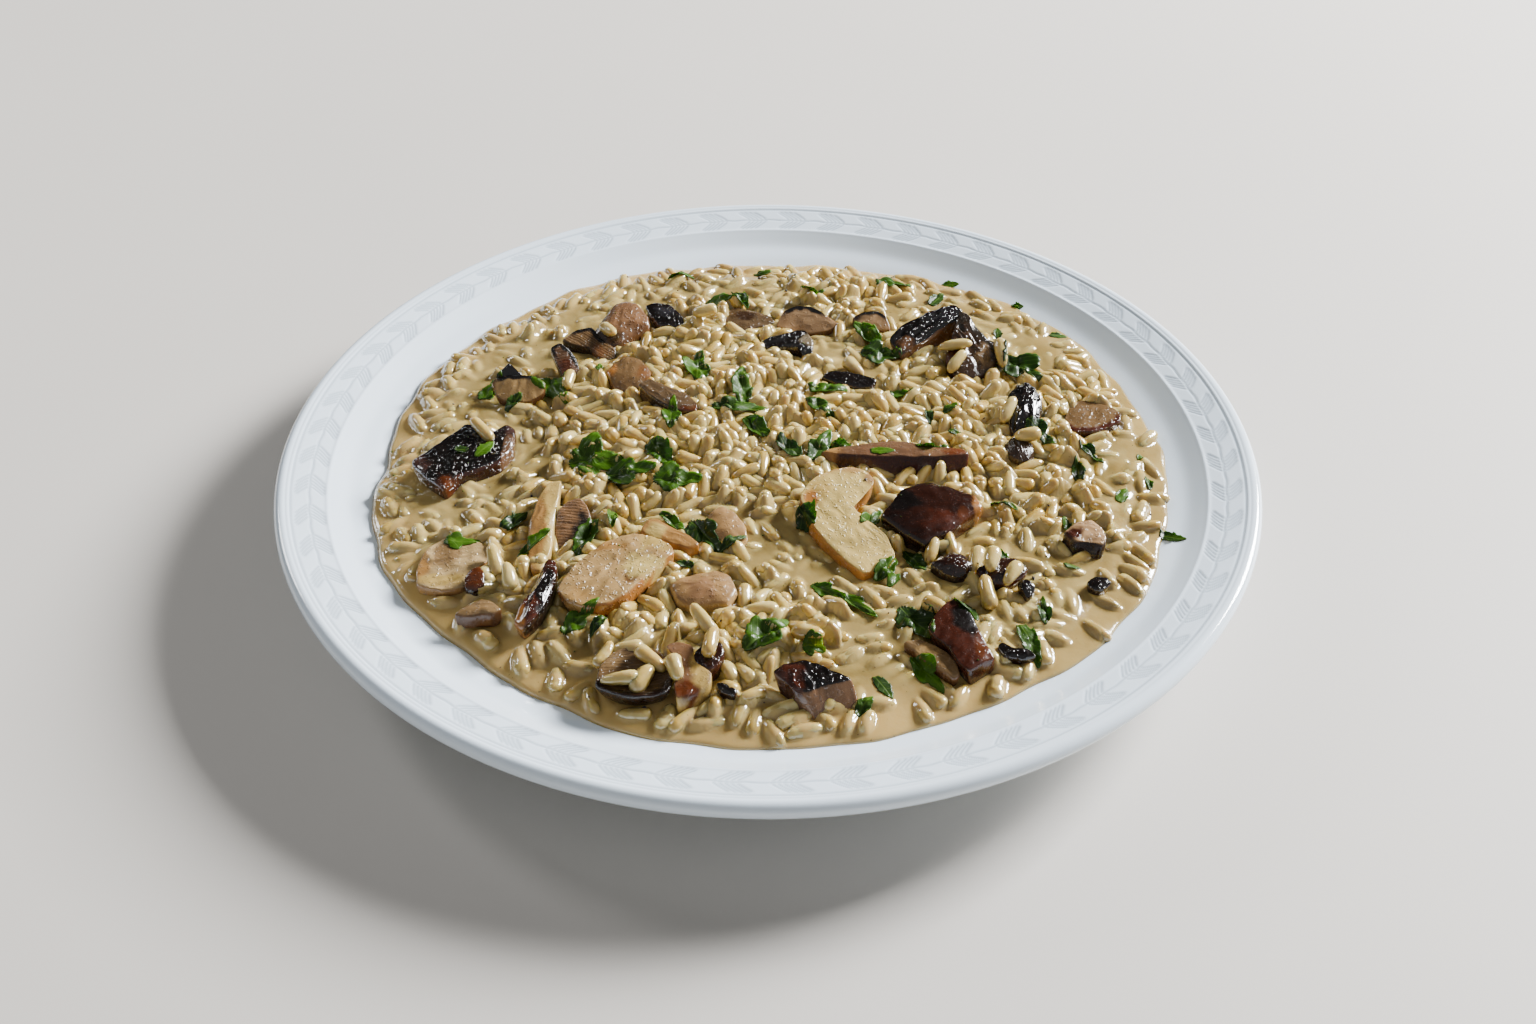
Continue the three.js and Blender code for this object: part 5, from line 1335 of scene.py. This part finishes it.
def latticeFaces(rings):
    # triangles of a round net: one middle point, then 6, 12, 18 and more points a ring
    faces = []
    for ring in range(1, rings + 1):
        outerFirst = 1 + 3 * ring * (ring - 1)
        innerFirst = 1 + 3 * (ring - 1) * (ring - 2) if ring > 1 else 0
        along = np.arange(ring)
        for sector in range(6):
            outer = outerFirst + (sector * ring + along) % (6 * ring)
            outerNext = outerFirst + (sector * ring + along + 1) % (6 * ring)
            innerCount = max(6 * (ring - 1), 1)
            inner = innerFirst + (sector * (ring - 1) + along) % innerCount
            faces.append(np.stack([outer, outerNext, inner], axis=1))
            if ring > 1:
                innerNext = innerFirst + (sector * (ring - 1) + along + 1) % innerCount
                faces.append(np.stack([inner, outerNext, innerNext], axis=1)[:-1])
    return np.concatenate(faces)


def smoothMax(first, second, blend):
    gapLeft = np.clip(blend - np.abs(first - second), 0, None)
    return np.maximum(first, second) + gapLeft ** 2 / (4 * blend)


def makeSauce():
    shape = sauceShape
    rings = shape["rings"]
    ringOf = np.concatenate([[0]] + [np.full(6 * k, k) for k in range(1, rings + 1)])
    angle = np.concatenate([[0]] + [np.arange(6 * k) / (6 * k) * fullTurn for k in range(1, rings + 1)])
    edge = sauceRadius(angle)
    radius = edge * ringOf / rings
    x, y = radius * np.cos(angle), radius * np.sin(angle)
    wet = wetness(x, y)
    ripple = 0.35 * (cloud(x, y, 7.0, 12) - 0.5) + 0.16 * (cloud(x, y, 2.6, 13) - 0.5)
    inner = heapHeight(x, y) + np.interp(wet, *zip(*shape["levels"])) + ripple
    fromEdge = edge - radius
    bank = bankHeight(x, y)
    surface = -smoothMax(-inner, -bank, shape["bankBlend"])
    over = np.zeros(len(x))
    filmed, reach = smoothStep(*shape["filmFrom"], wet), shape["grainReach"]
    offset = shape["film"] * filmed - shape["bareUnder"] * (1 - filmed)
    for crowd in (bedGrains, upperGrains):
        for i in range(len(crowd.x)):
            near = np.nonzero((np.abs(x - crowd.x[i]) < reach) & (np.abs(y - crowd.y[i]) < reach))[0]
            dx, dy = x[near] - crowd.x[i], y[near] - crowd.y[i]
            cos, sin = math.cos(crowd.heading[i]), math.sin(crowd.heading[i])
            u = (dx * cos + dy * sin) / crowd.halfLength[i]
            v = (dy * cos - dx * sin) / crowd.halfWidth[i]
            q = u * u + v * v
            tilt = math.sin(crowd.pitch[i]) * u * crowd.halfLength[i]
            height = crowd.halfWidth[i] * grainShape["flatness"] * np.sqrt(np.clip(1 - q, 0, None))
            top = crowd.z[i] + tilt + height - 3.0 * np.clip(q - 1, 0, 3) + offset[near]
            surface[near] = smoothMax(surface[near], top, shape["blend"])
            over[near] = np.maximum(over[near], smoothStep(-1.1, 0.9, top - inner[near]) * (q < 1.4))
    capped = np.minimum(surface, bank + shape["edgeClimb"] * fromEdge)
    surface = np.where(fromEdge < shape["edgeZone"], capped, surface)
    surface = np.maximum(surface, plateTopAt(radius) + shape["overPlate"])
    points = [np.stack([x, y, surface], axis=1)]
    faces = [latticeFaces(rings)]
    # the underside follows the plate
    count, sides = len(x), 6 * rings
    rim = count - sides
    rimAngle = angle[rim:]
    previous = rim
    quads = []
    for share in shape["underRings"]:
        r = edge[rim:] * share
        under = plateTopAt(r) + shape["underGap"]
        points.append(np.stack([r * np.cos(rimAngle), r * np.sin(rimAngle), under], axis=1))
        quads.append(bandFaces(count, previous, sides))
        previous, count = count, count + sides
    points.append(np.array([[0.0, 0.0, dish["plateTop"][0][1] + 0.1]]))
    faces.append(fanFaces(previous, sides, count, flip=True))
    hidden = sides * len(shape["underRings"]) + 1
    over = np.concatenate([over, np.zeros(hidden)])
    # lighter edge colour, part thin sauce and part painted light, cut back on the right where the window already
    # lights it
    margin = smoothStep(20, 4, fromEdge) * (1 - 0.7 * smoothStep(20, 100, x))
    margin = np.concatenate([margin, np.ones(hidden)])
    return newPiece("creamySauce", np.concatenate(points), [np.concatenate(faces), np.concatenate(quads)],
                    sauceMaterial, ["sauce"], {"overGrain": over * 0.85, "margin": margin})


sauce = makeSauce()
print("sauce made:", len(sauce.data.polygons), "faces")

bedRice = bedGrains.mesh("riceInTheSauce", beddedRiceMaterial, ["rice"])
upperRice = upperGrains.mesh("riceOnTheMound", moundRiceMaterial)
print("rice made:", len(bedRice.data.polygons) + len(upperRice.data.polygons), "faces")


def treeOf(pieces):
    # what later pieces are laid on
    points, faces = [], []
    for piece in pieces:
        start = len(points)
        points += [vertex.co / mm for vertex in piece.data.vertices]
        faces += [tuple(start + i for i in polygon.vertices) for polygon in piece.data.polygons]
    return BVHTree.FromPolygons(points, faces)


def groundAt(x, y, tree):
    # height of what lies at a place, in millimetres
    hit = tree.ray_cast(Vector((x, y, 60.0)), Vector((0, 0, -1)))
    return hit[0].z if hit[0] else dish["heapLevel"] - 0.9


# Grains that lie on mushrooms: x, y, heading in degrees, pitch in degrees.
looseGrains = [
    (-82.3, -0.2, -45, -20), (57.4, 42.8, 0, 10), (71.8, 41.3, -88, -25), (57.5, 36.8, 51, 20),
    (43.7, -49.2, 74, 20), (48.9, -46.6, -80, -20), (46.7, -47.1, 0, 10), (55.3, -52.4, 74, 10),
    (58.8, -56.4, 76, 10), (63.7, -61.1, 59, 10), (57, -65.6, -83, -20), (-40.8, -88.6, 65, 10),
    (-35.2, -86.8, 0, 10), (-28.9, -92.3, -41, -10), (-22.8, -96.5, -73, -10), (-30.8, -98.3, 62, 10),
    (-36.2, -98.6, 0, 10), (-72.6, -53, -74, -25), (-67.6, -61.4, -74, -20), (26.3, 37.3, -48, -15),
    (-60.3, 28.3, 84, 10), (70.2, 9.7, 62, 20), (75, -0.1, 0, 10), (-16.5, -79.7, -52, -18),
    (-14.2, -88.4, 79, 10), (43, -71, -40, 12), (10, -84, -20, 10), (-50, 54, -60, 15), (-20, 62, 10, 8),
]


def makeLooseGrains():
    ground = treeOf([plate, sauce, bedRice, upperRice] + mushrooms)
    x, y, heading, pitch = (np.array(column, float) for column in zip(*looseGrains))
    z = np.array([max(groundAt(a + step, b, ground) for step in (0, 1.5, -1.5)) + 1.5
                  for a, b in zip(x, y)])
    crowd = Grains(x, y, z, np.radians(heading), np.radians(pitch), 33)
    return crowd.mesh("looseRice", moundRiceMaterial)


looseRice = makeLooseGrains()


# Leaves that are pieces of their own: x, y, heading and roll in degrees, length, width, lobes.
parsleyLeaves = [
    (77.4, 38.9, -59, 20, 17, 13, 3), (-50.2, -10.6, 0, 8, 16, 15, 3), (-39.9, -17.4, 0, -8, 15, 11, 3),
    (-26.4, -21.6, 0, 5, 14, 11, 3), (-21.3, 34.5, 90, 30, 18, 9, 3), (-7.7, 23.3, 90, 25, 18, 7, 1),
    (-65.4, 27.5, -60, 12, 18, 11, 3), (34, 46.4, 0, 15, 13, 12, 3), (40.5, 89.8, 0, 8, 12, 10, 3),
    (-15.6, 74.7, 0, 12, 12, 9, 3), (78.8, 4.1, -51, 15, 12, 8, 3), (-1.2, -83.1, 44, 10, 16, 11, 3),
    (37.7, -74.4, -58, 8, 16, 10, 3), (39, -92, -53, 10, 13, 6, 3), (-17.5, -40.9, -57, 12, 17, 8, 3),
    (-48.9, -75.1, 42, 8, 13, 6, 3), (111, -36.3, -33, 10, 8, 4, 1),
]

# Smaller chopped parsley: x, y, heading in degrees, length, width, lobes.
parsleyFlakes = [
    (-29.3, 94.7, 0, 9, 5, 1), (-8.9, 74.7, -62, 10, 5, 1), (-2, 101, 0, 6, 4, 1), (61.2, 96.7, 0, 6, 3, 1),
    (55.3, 82, 57, 9, 4, 1), (14.3, 80.2, 0, 8, 5, 1), (31.2, 55.4, -37, 11, 6, 1),
    (73.1, 60.3, 90, 6, 3, 1), (92.6, 63.1, 0, 6, 3, 1), (17.6, 23.8, 0, 12, 5, 1),
    (14.7, 15, -45, 12, 6, 3), (40, 24.5, 0, 7, 4, 1), (47.4, 11, 90, 8, 3, 1), (54, 14.9, 54, 7, 4, 1),
    (-10.1, 13.4, 0, 17, 8, 3), (-3.3, 3.5, -54, 13, 6, 1), (-84, 28.9, 67, 12, 6, 1),
    (-30.8, -8.8, -60, 13, 7, 1), (-28.2, 7, 90, 14, 6, 3), (6, -6.3, -53, 11, 6, 1),
    (14.5, -6.9, 65, 14, 7, 3), (20.3, -4.9, -30, 8, 4, 1), (32.2, -10.4, 0, 7, 4, 1),
    (46, -7, 0, 10, 4, 3), (10.4, -37.4, -55, 8, 6, 1), (27.8, -36.2, 55, 12, 4, 3),
    (39.2, -51.3, -58, 10, 5, 1), (31.2, -55.4, 52, 10, 5, 1), (33.2, -58.4, 54, 6, 3, 1),
    (14.9, -63.2, -38, 11, 5, 3), (22.7, -68, -39, 13, 5, 3), (61.2, -48.9, -36, 8, 4, 1),
    (65, -29.3, -40, 9, 4, 1), (88.5, -11.4, 90, 10, 4, 1), (93.1, -2.4, -49, 10, 5, 3),
    (108, -2, 0, 2, 3, 1), (108.5, -13.8, 90, 5, 3, 1), (99.7, -21, 63, 7, 4, 1), (82, -35, 90, 5, 3, 1),
    (50.8, -71.6, -57, 10, 6, 1), (28.5, -96.7, -57, 8, 4, 1), (23.5, -103, 51, 7, 4, 1),
    (11, -87, 0, 6, 4, 3), (80.9, -53.4, 0, 5, 3, 1), (71.1, -71.2, 90, 10, 4, 3),
    (66.3, -81.6, -74, 13, 5, 1), (-43, -79, 50, 6, 4, 1), (-83.5, -43.8, 0, 10, 6, 3),
    (-69.5, -35.2, 53, 10, 5, 1), (-62.8, -47.1, 45, 12, 5, 1), (-49, -44, 72, 16, 6, 1),
    (-42, -38.4, 90, 8, 3, 1), (-26.2, -36.2, -39, 9, 4, 1), (-10, -47, 34, 9, 4, 3),
    (-22.1, -54.8, 0, 5, 3, 1), (-80.9, -7.5, 55, 8, 4, 1), (-87.4, -8, 0, 4, 3, 1), (82, 82, 0, 4, 3, 1),
    (-76, 20, 52, 7, 4, 1), (54, 1.6, 0, 4, 3, 1), (-51.4, 34.6, 90, 8, 3, 1),
]

leafForm = {
    "columns": 96,
    "rings": 7,
    "thickness": 0.24,
    "clear": 0.2,      # gap to what it lies on
    "cling": 0.2,      # how far it follows what is under it
    "settle": 82,      # how high it lies on what is under it, as a percentile
    "curl": 1.0,
}


def leafOutline(lobes, draw):
    # distance from the leaf's middle to its edge, all the way round
    angle = np.arange(leafForm["columns"]) / leafForm["columns"] * fullTurn
    turned = (angle + math.pi) % fullTurn - math.pi
    if lobes == 3:
        reach = np.full(len(angle), 0.4)
        for middle, length, width in ((-1.25, 0.85, 0.75), (0.0, 1.1, 0.6), (1.25, 0.8, 0.75)):
            middle, length = middle + draw.uniform(-0.2, 0.2), length * draw.uniform(0.85, 1.15)
            away = np.abs((turned - middle + math.pi) % fullTurn - math.pi) / width
            notch = 0.1 * np.abs((away * 2.2 + draw.uniform(0, 1)) % 1.0 - 0.3)
            lobe = length * (1 - 0.42 * np.clip(away, 0, 1.3) ** 1.3 - notch * (away > 0.25))
            reach = np.maximum(reach, lobe)
    else:
        # a narrow blade with a few teeth that point to its tip, one end cut off
        power, slim = draw.uniform(1.25, 1.7), draw.uniform(0.5, 0.7)
        reach = 1 / (np.abs(np.cos(angle)) ** power + np.abs(np.sin(angle) / slim) ** power) ** (1 / power)
        teeth = (np.abs(turned) * draw.uniform(0.9, 1.3) + draw.uniform(0, 1)) % 1.0
        reach = reach * (1 + 0.22 * (teeth - 0.5) * np.abs(np.sin(angle)))
        limit, back = draw.uniform(0.6, 0.95), -np.cos(angle - draw.uniform(-0.4, 0.4))
        reach = np.where(back > 0.2, np.minimum(reach, limit / np.clip(back, 0.2, 1)), reach)
    return angle, reach * (1 + 0.015 * np.sin(11 * angle + draw.uniform(0, 6)))


def drapedLeaf(x, y, heading, roll, length, width, lobes, seed, tree):
    # a toothed leaf laid on what is under it: points, quads, triangles and attributes
    draw = np.random.RandomState(seed)
    columns, rings = leafForm["columns"], leafForm["rings"]
    angle, reach = leafOutline(lobes, draw)
    edge = np.stack([reach * np.cos(angle), reach * np.sin(angle)], axis=1)
    edge -= (edge.max(axis=0) + edge.min(axis=0)) / 2 * [0.6, 0.0]
    edge *= np.array([length, width]) / (edge.max(axis=0) - edge.min(axis=0))
    shares = np.arange(rings, 0, -1) / rings
    flat = np.concatenate([edge * share for share in shares] + [np.zeros((1, 2))])
    turn = math.radians(heading)
    px = x + flat[:, 0] * math.cos(turn) - flat[:, 1] * math.sin(turn)
    py = y + flat[:, 0] * math.sin(turn) + flat[:, 1] * math.cos(turn)
    under = np.array([groundAt(a, b, tree) for a, b in zip(px, py)])
    plane = np.column_stack([np.ones(len(px)), px - x, py - y])
    fit = plane @ np.linalg.lstsq(plane, under, rcond=None)[0]
    fit = fit + np.percentile(under - fit, leafForm["settle"])
    u, v = flat[:, 0] / (length / 2), flat[:, 1] / (width / 2)
    fold, curl, wave = draw.uniform(0.6, 2.6), draw.uniform(-1.2, 1.2), draw.uniform(0.1, 0.35)
    form = leafForm["curl"] * (fold * np.abs(v) - 0.4 * fold + curl * u * u * 0.8)
    form += wave * np.sin(3.1 * u + 2.2 * v + seed)
    form += math.tan(math.radians(roll)) * flat[:, 1] * 0.8
    cling = leafForm["cling"]
    z = np.maximum(fit * (1 - cling) + under * cling + form - 0.3, under + leafForm["clear"])
    z = np.minimum(z, cadBox[1][2] / mm - 0.15)
    count = len(flat)
    top = np.column_stack([px, py, z])
    low = top - [0, 0, leafForm["thickness"]]
    quads = [bandFaces(k * columns, (k + 1) * columns, columns) for k in range(rings - 1)]
    quads += [faces[:, ::-1] + count for faces in quads]
    quads.append(bandFaces(count, 0, columns))
    inner = (rings - 1) * columns
    caps = np.concatenate([fanFaces(inner, columns, count - 1),
                           fanFaces(inner + count, columns, 2 * count - 1, flip=True)])
    both = lambda values: np.concatenate([values, values])
    tone = draw.uniform(0.05, 0.85)
    attributes = {"tone": np.clip(both(tone + 0.2 * u), 0, 1), "along": both(flat[:, 0]),
                  "across": both(flat[:, 1])}
    return np.concatenate([top, low]), np.concatenate(quads), caps, attributes


leafGround = treeOf([plate, sauce, bedRice, upperRice, looseRice] + mushrooms)
leafPieces = []
for index, (x, y, heading, roll, length, width, lobes) in enumerate(parsleyLeaves):
    points, quads, caps, attributes = drapedLeaf(x, y, heading, roll, length, width, lobes, 100 + index,
                                                 leafGround)
    leafPieces.append(newPiece(f"leaf_{index + 1:02d}", points, [quads, caps], parsleyMaterial,
                               [f"parsley_{index + 1:02d}"], attributes))


def makeChoppedParsley():
    forms = [drapedLeaf(x, y, heading, (index * 37) % 30 - 12, length, width, lobes, 300 + index,
                        leafGround)
             for index, (x, y, heading, length, width, lobes) in enumerate(parsleyFlakes)]
    starts = np.cumsum([0] + [len(form[0]) for form in forms])
    together = {key: np.concatenate([form[3][key] for form in forms]) for key in forms[0][3]}
    return newPiece("choppedParsley", np.concatenate([form[0] for form in forms]),
                    [np.concatenate([form[1] + start for form, start in zip(forms, starts)]),
                     np.concatenate([form[2] + start for form, start in zip(forms, starts)])],
                    parsleyMaterial, attributes=together)


makeChoppedParsley()
print("parsley made:", len(leafPieces), "leaves and", len(parsleyFlakes), "flakes")


speckCrowd = {"pepper": 150, "greens": 110, "smallest": 0.25, "largest": 0.75, "within": 112}

# Larger specks that stand out: x, y, size.
bigSpecks = [(-30, -104, 1.2), (-44, -100, 0.7), (-3, 96, 1.3), (6, 84, 1.4), (9, 92, 0.8),
             (102, 26, 1.4), (-14, -80, 1.0), (-12, -77, 0.9), (70, -58, 1.1), (18, 7, 0.9),
             (27, -24, 0.9), (-66, -24, 0.9)]


def speckMesh(name, places, material, extra=None):
    # small uneven crumbs, all in one mesh
    shape = np.array([(1, 0, 0), (-1, 0, 0), (0, 1, 0), (0, -1, 0), (0, 0, 1), (0, 0, -1)], float)
    triangles = np.array([(0, 2, 4), (2, 1, 4), (1, 3, 4), (3, 0, 4),
                          (2, 0, 5), (1, 2, 5), (3, 1, 5), (0, 3, 5)])
    draw = np.random.RandomState(len(places))
    points, faces = [], []
    for i, (x, y, size) in enumerate(places):
        turn = np.array(Euler(tuple(draw.uniform(0, 6, 3))).to_matrix())
        stretch = size / 2 * draw.uniform(0.6, 1.4, 3)
        z = groundAt(x, y, leafGround) + 0.12 * size
        points.append((shape * stretch * draw.uniform(0.75, 1.2, (6, 1))) @ turn.T + (x, y, z))
        faces.append(triangles + 6 * i)
    attributes = {key: np.repeat(draw.rand(len(places)) * scale, 6)
                  for key, scale in (extra or {}).items()}
    return newPiece(name, np.concatenate(points), [np.concatenate(faces)], material,
                    attributes=attributes)


def scatterSpecks(count, seed):
    draw = np.random.RandomState(seed)
    radius, angle = speckCrowd["within"] * np.sqrt(draw.rand(count)), draw.uniform(0, fullTurn, count)
    spread = speckCrowd["largest"] - speckCrowd["smallest"]
    sizes = speckCrowd["smallest"] + spread * draw.rand(count) ** 2
    return list(zip(radius * np.cos(angle), radius * np.sin(angle), sizes))


speckMesh("pepperSpecks", scatterSpecks(speckCrowd["pepper"], 61) + bigSpecks, pepperMaterial)
speckMesh("parsleyCrumbs", scatterSpecks(speckCrowd["greens"], 62), parsleyMaterial,
          {"tone": 0.8})
print("specks made")


studio = {
    "cameraPlace": (0.0, -0.3965, 0.319),
    "cameraPitch": 39.1,
    "lens": 40.0,
    "sensorWidth": 36.0,
    "floorColor": linear(206, 200, 192),
    "floorPale": linear(212, 206, 198),
    "floorSize": 6.0,
    "backSky": 0.05,
    "frontSky": 0.4,
    "skyColor": (0.95, 0.975, 1.0, 1.0),
    # name, place, size, power
    "windows": [("backWindow", (1.8, 1.21, 1.05), (0.83, 0.74), 304.0),
                ("sideWindow", (-1.1, 0.83, 0.8), (0.3, 0.36), 6.0)],
    "windowColor": (0.97, 0.985, 1.0),
}


def makeFloor():
    m = Nodes("paleFloor")
    m.color(m.mix(m.noise(6.0, 2.0), studio["floorColor"], studio["floorPale"]))
    m.fixed(Roughness=0.6)
    bpy.ops.mesh.primitive_plane_add(size=studio["floorSize"], location=(0, 0, 0))
    floor = bpy.context.object
    floor.name = "floor"
    floor.data.materials.append(m.material)


def makeWindow(name, place, size, power):
    light = bpy.data.lights.new(name, "AREA")
    light.shape = "RECTANGLE"
    light.size, light.size_y = size
    light.energy = power
    light.color = studio["windowColor"]
    lamp = bpy.data.objects.new(name, light)
    lamp.location = place
    lamp.rotation_euler = (Vector((0, 0, 0.02)) - Vector(place)).to_track_quat("-Z", "Y").to_euler()
    bpy.context.scene.collection.objects.link(lamp)


def makeRoom():
    # a dim room, lighter in front than behind
    world = bpy.data.worlds.new("softRoom")
    world.use_nodes = True
    tree = world.node_tree
    place = tree.nodes.new("ShaderNodeTexCoord")
    split = tree.nodes.new("ShaderNodeSeparateXYZ")
    depth = tree.nodes.new("ShaderNodeMapRange")
    depth.interpolation_type = "SMOOTHSTEP"
    for name, value in (("From Min", -0.3), ("From Max", 0.5), ("To Min", studio["frontSky"]),
                        ("To Max", studio["backSky"])):
        depth.inputs[name].default_value = value
    sky = tree.nodes["Background"]
    sky.inputs["Color"].default_value = studio["skyColor"]
    tree.links.new(place.outputs["Generated"], split.inputs[0])
    tree.links.new(split.outputs["Y"], depth.inputs["Value"])
    tree.links.new(depth.outputs["Result"], sky.inputs["Strength"])
    bpy.context.scene.world = world


makeFloor()
for window in studio["windows"]:
    makeWindow(*window)
makeRoom()
print("floor, windows and room made")

cameraData = bpy.data.cameras.new("tableCamera")
cameraData.lens = studio["lens"]
cameraData.sensor_width = studio["sensorWidth"]
camera = bpy.data.objects.new("tableCamera", cameraData)
camera.location = studio["cameraPlace"]
camera.rotation_euler = (math.radians(90 - studio["cameraPitch"]), 0, 0)
bpy.context.scene.collection.objects.link(camera)
bpy.context.scene.camera = camera

print("scene ready")
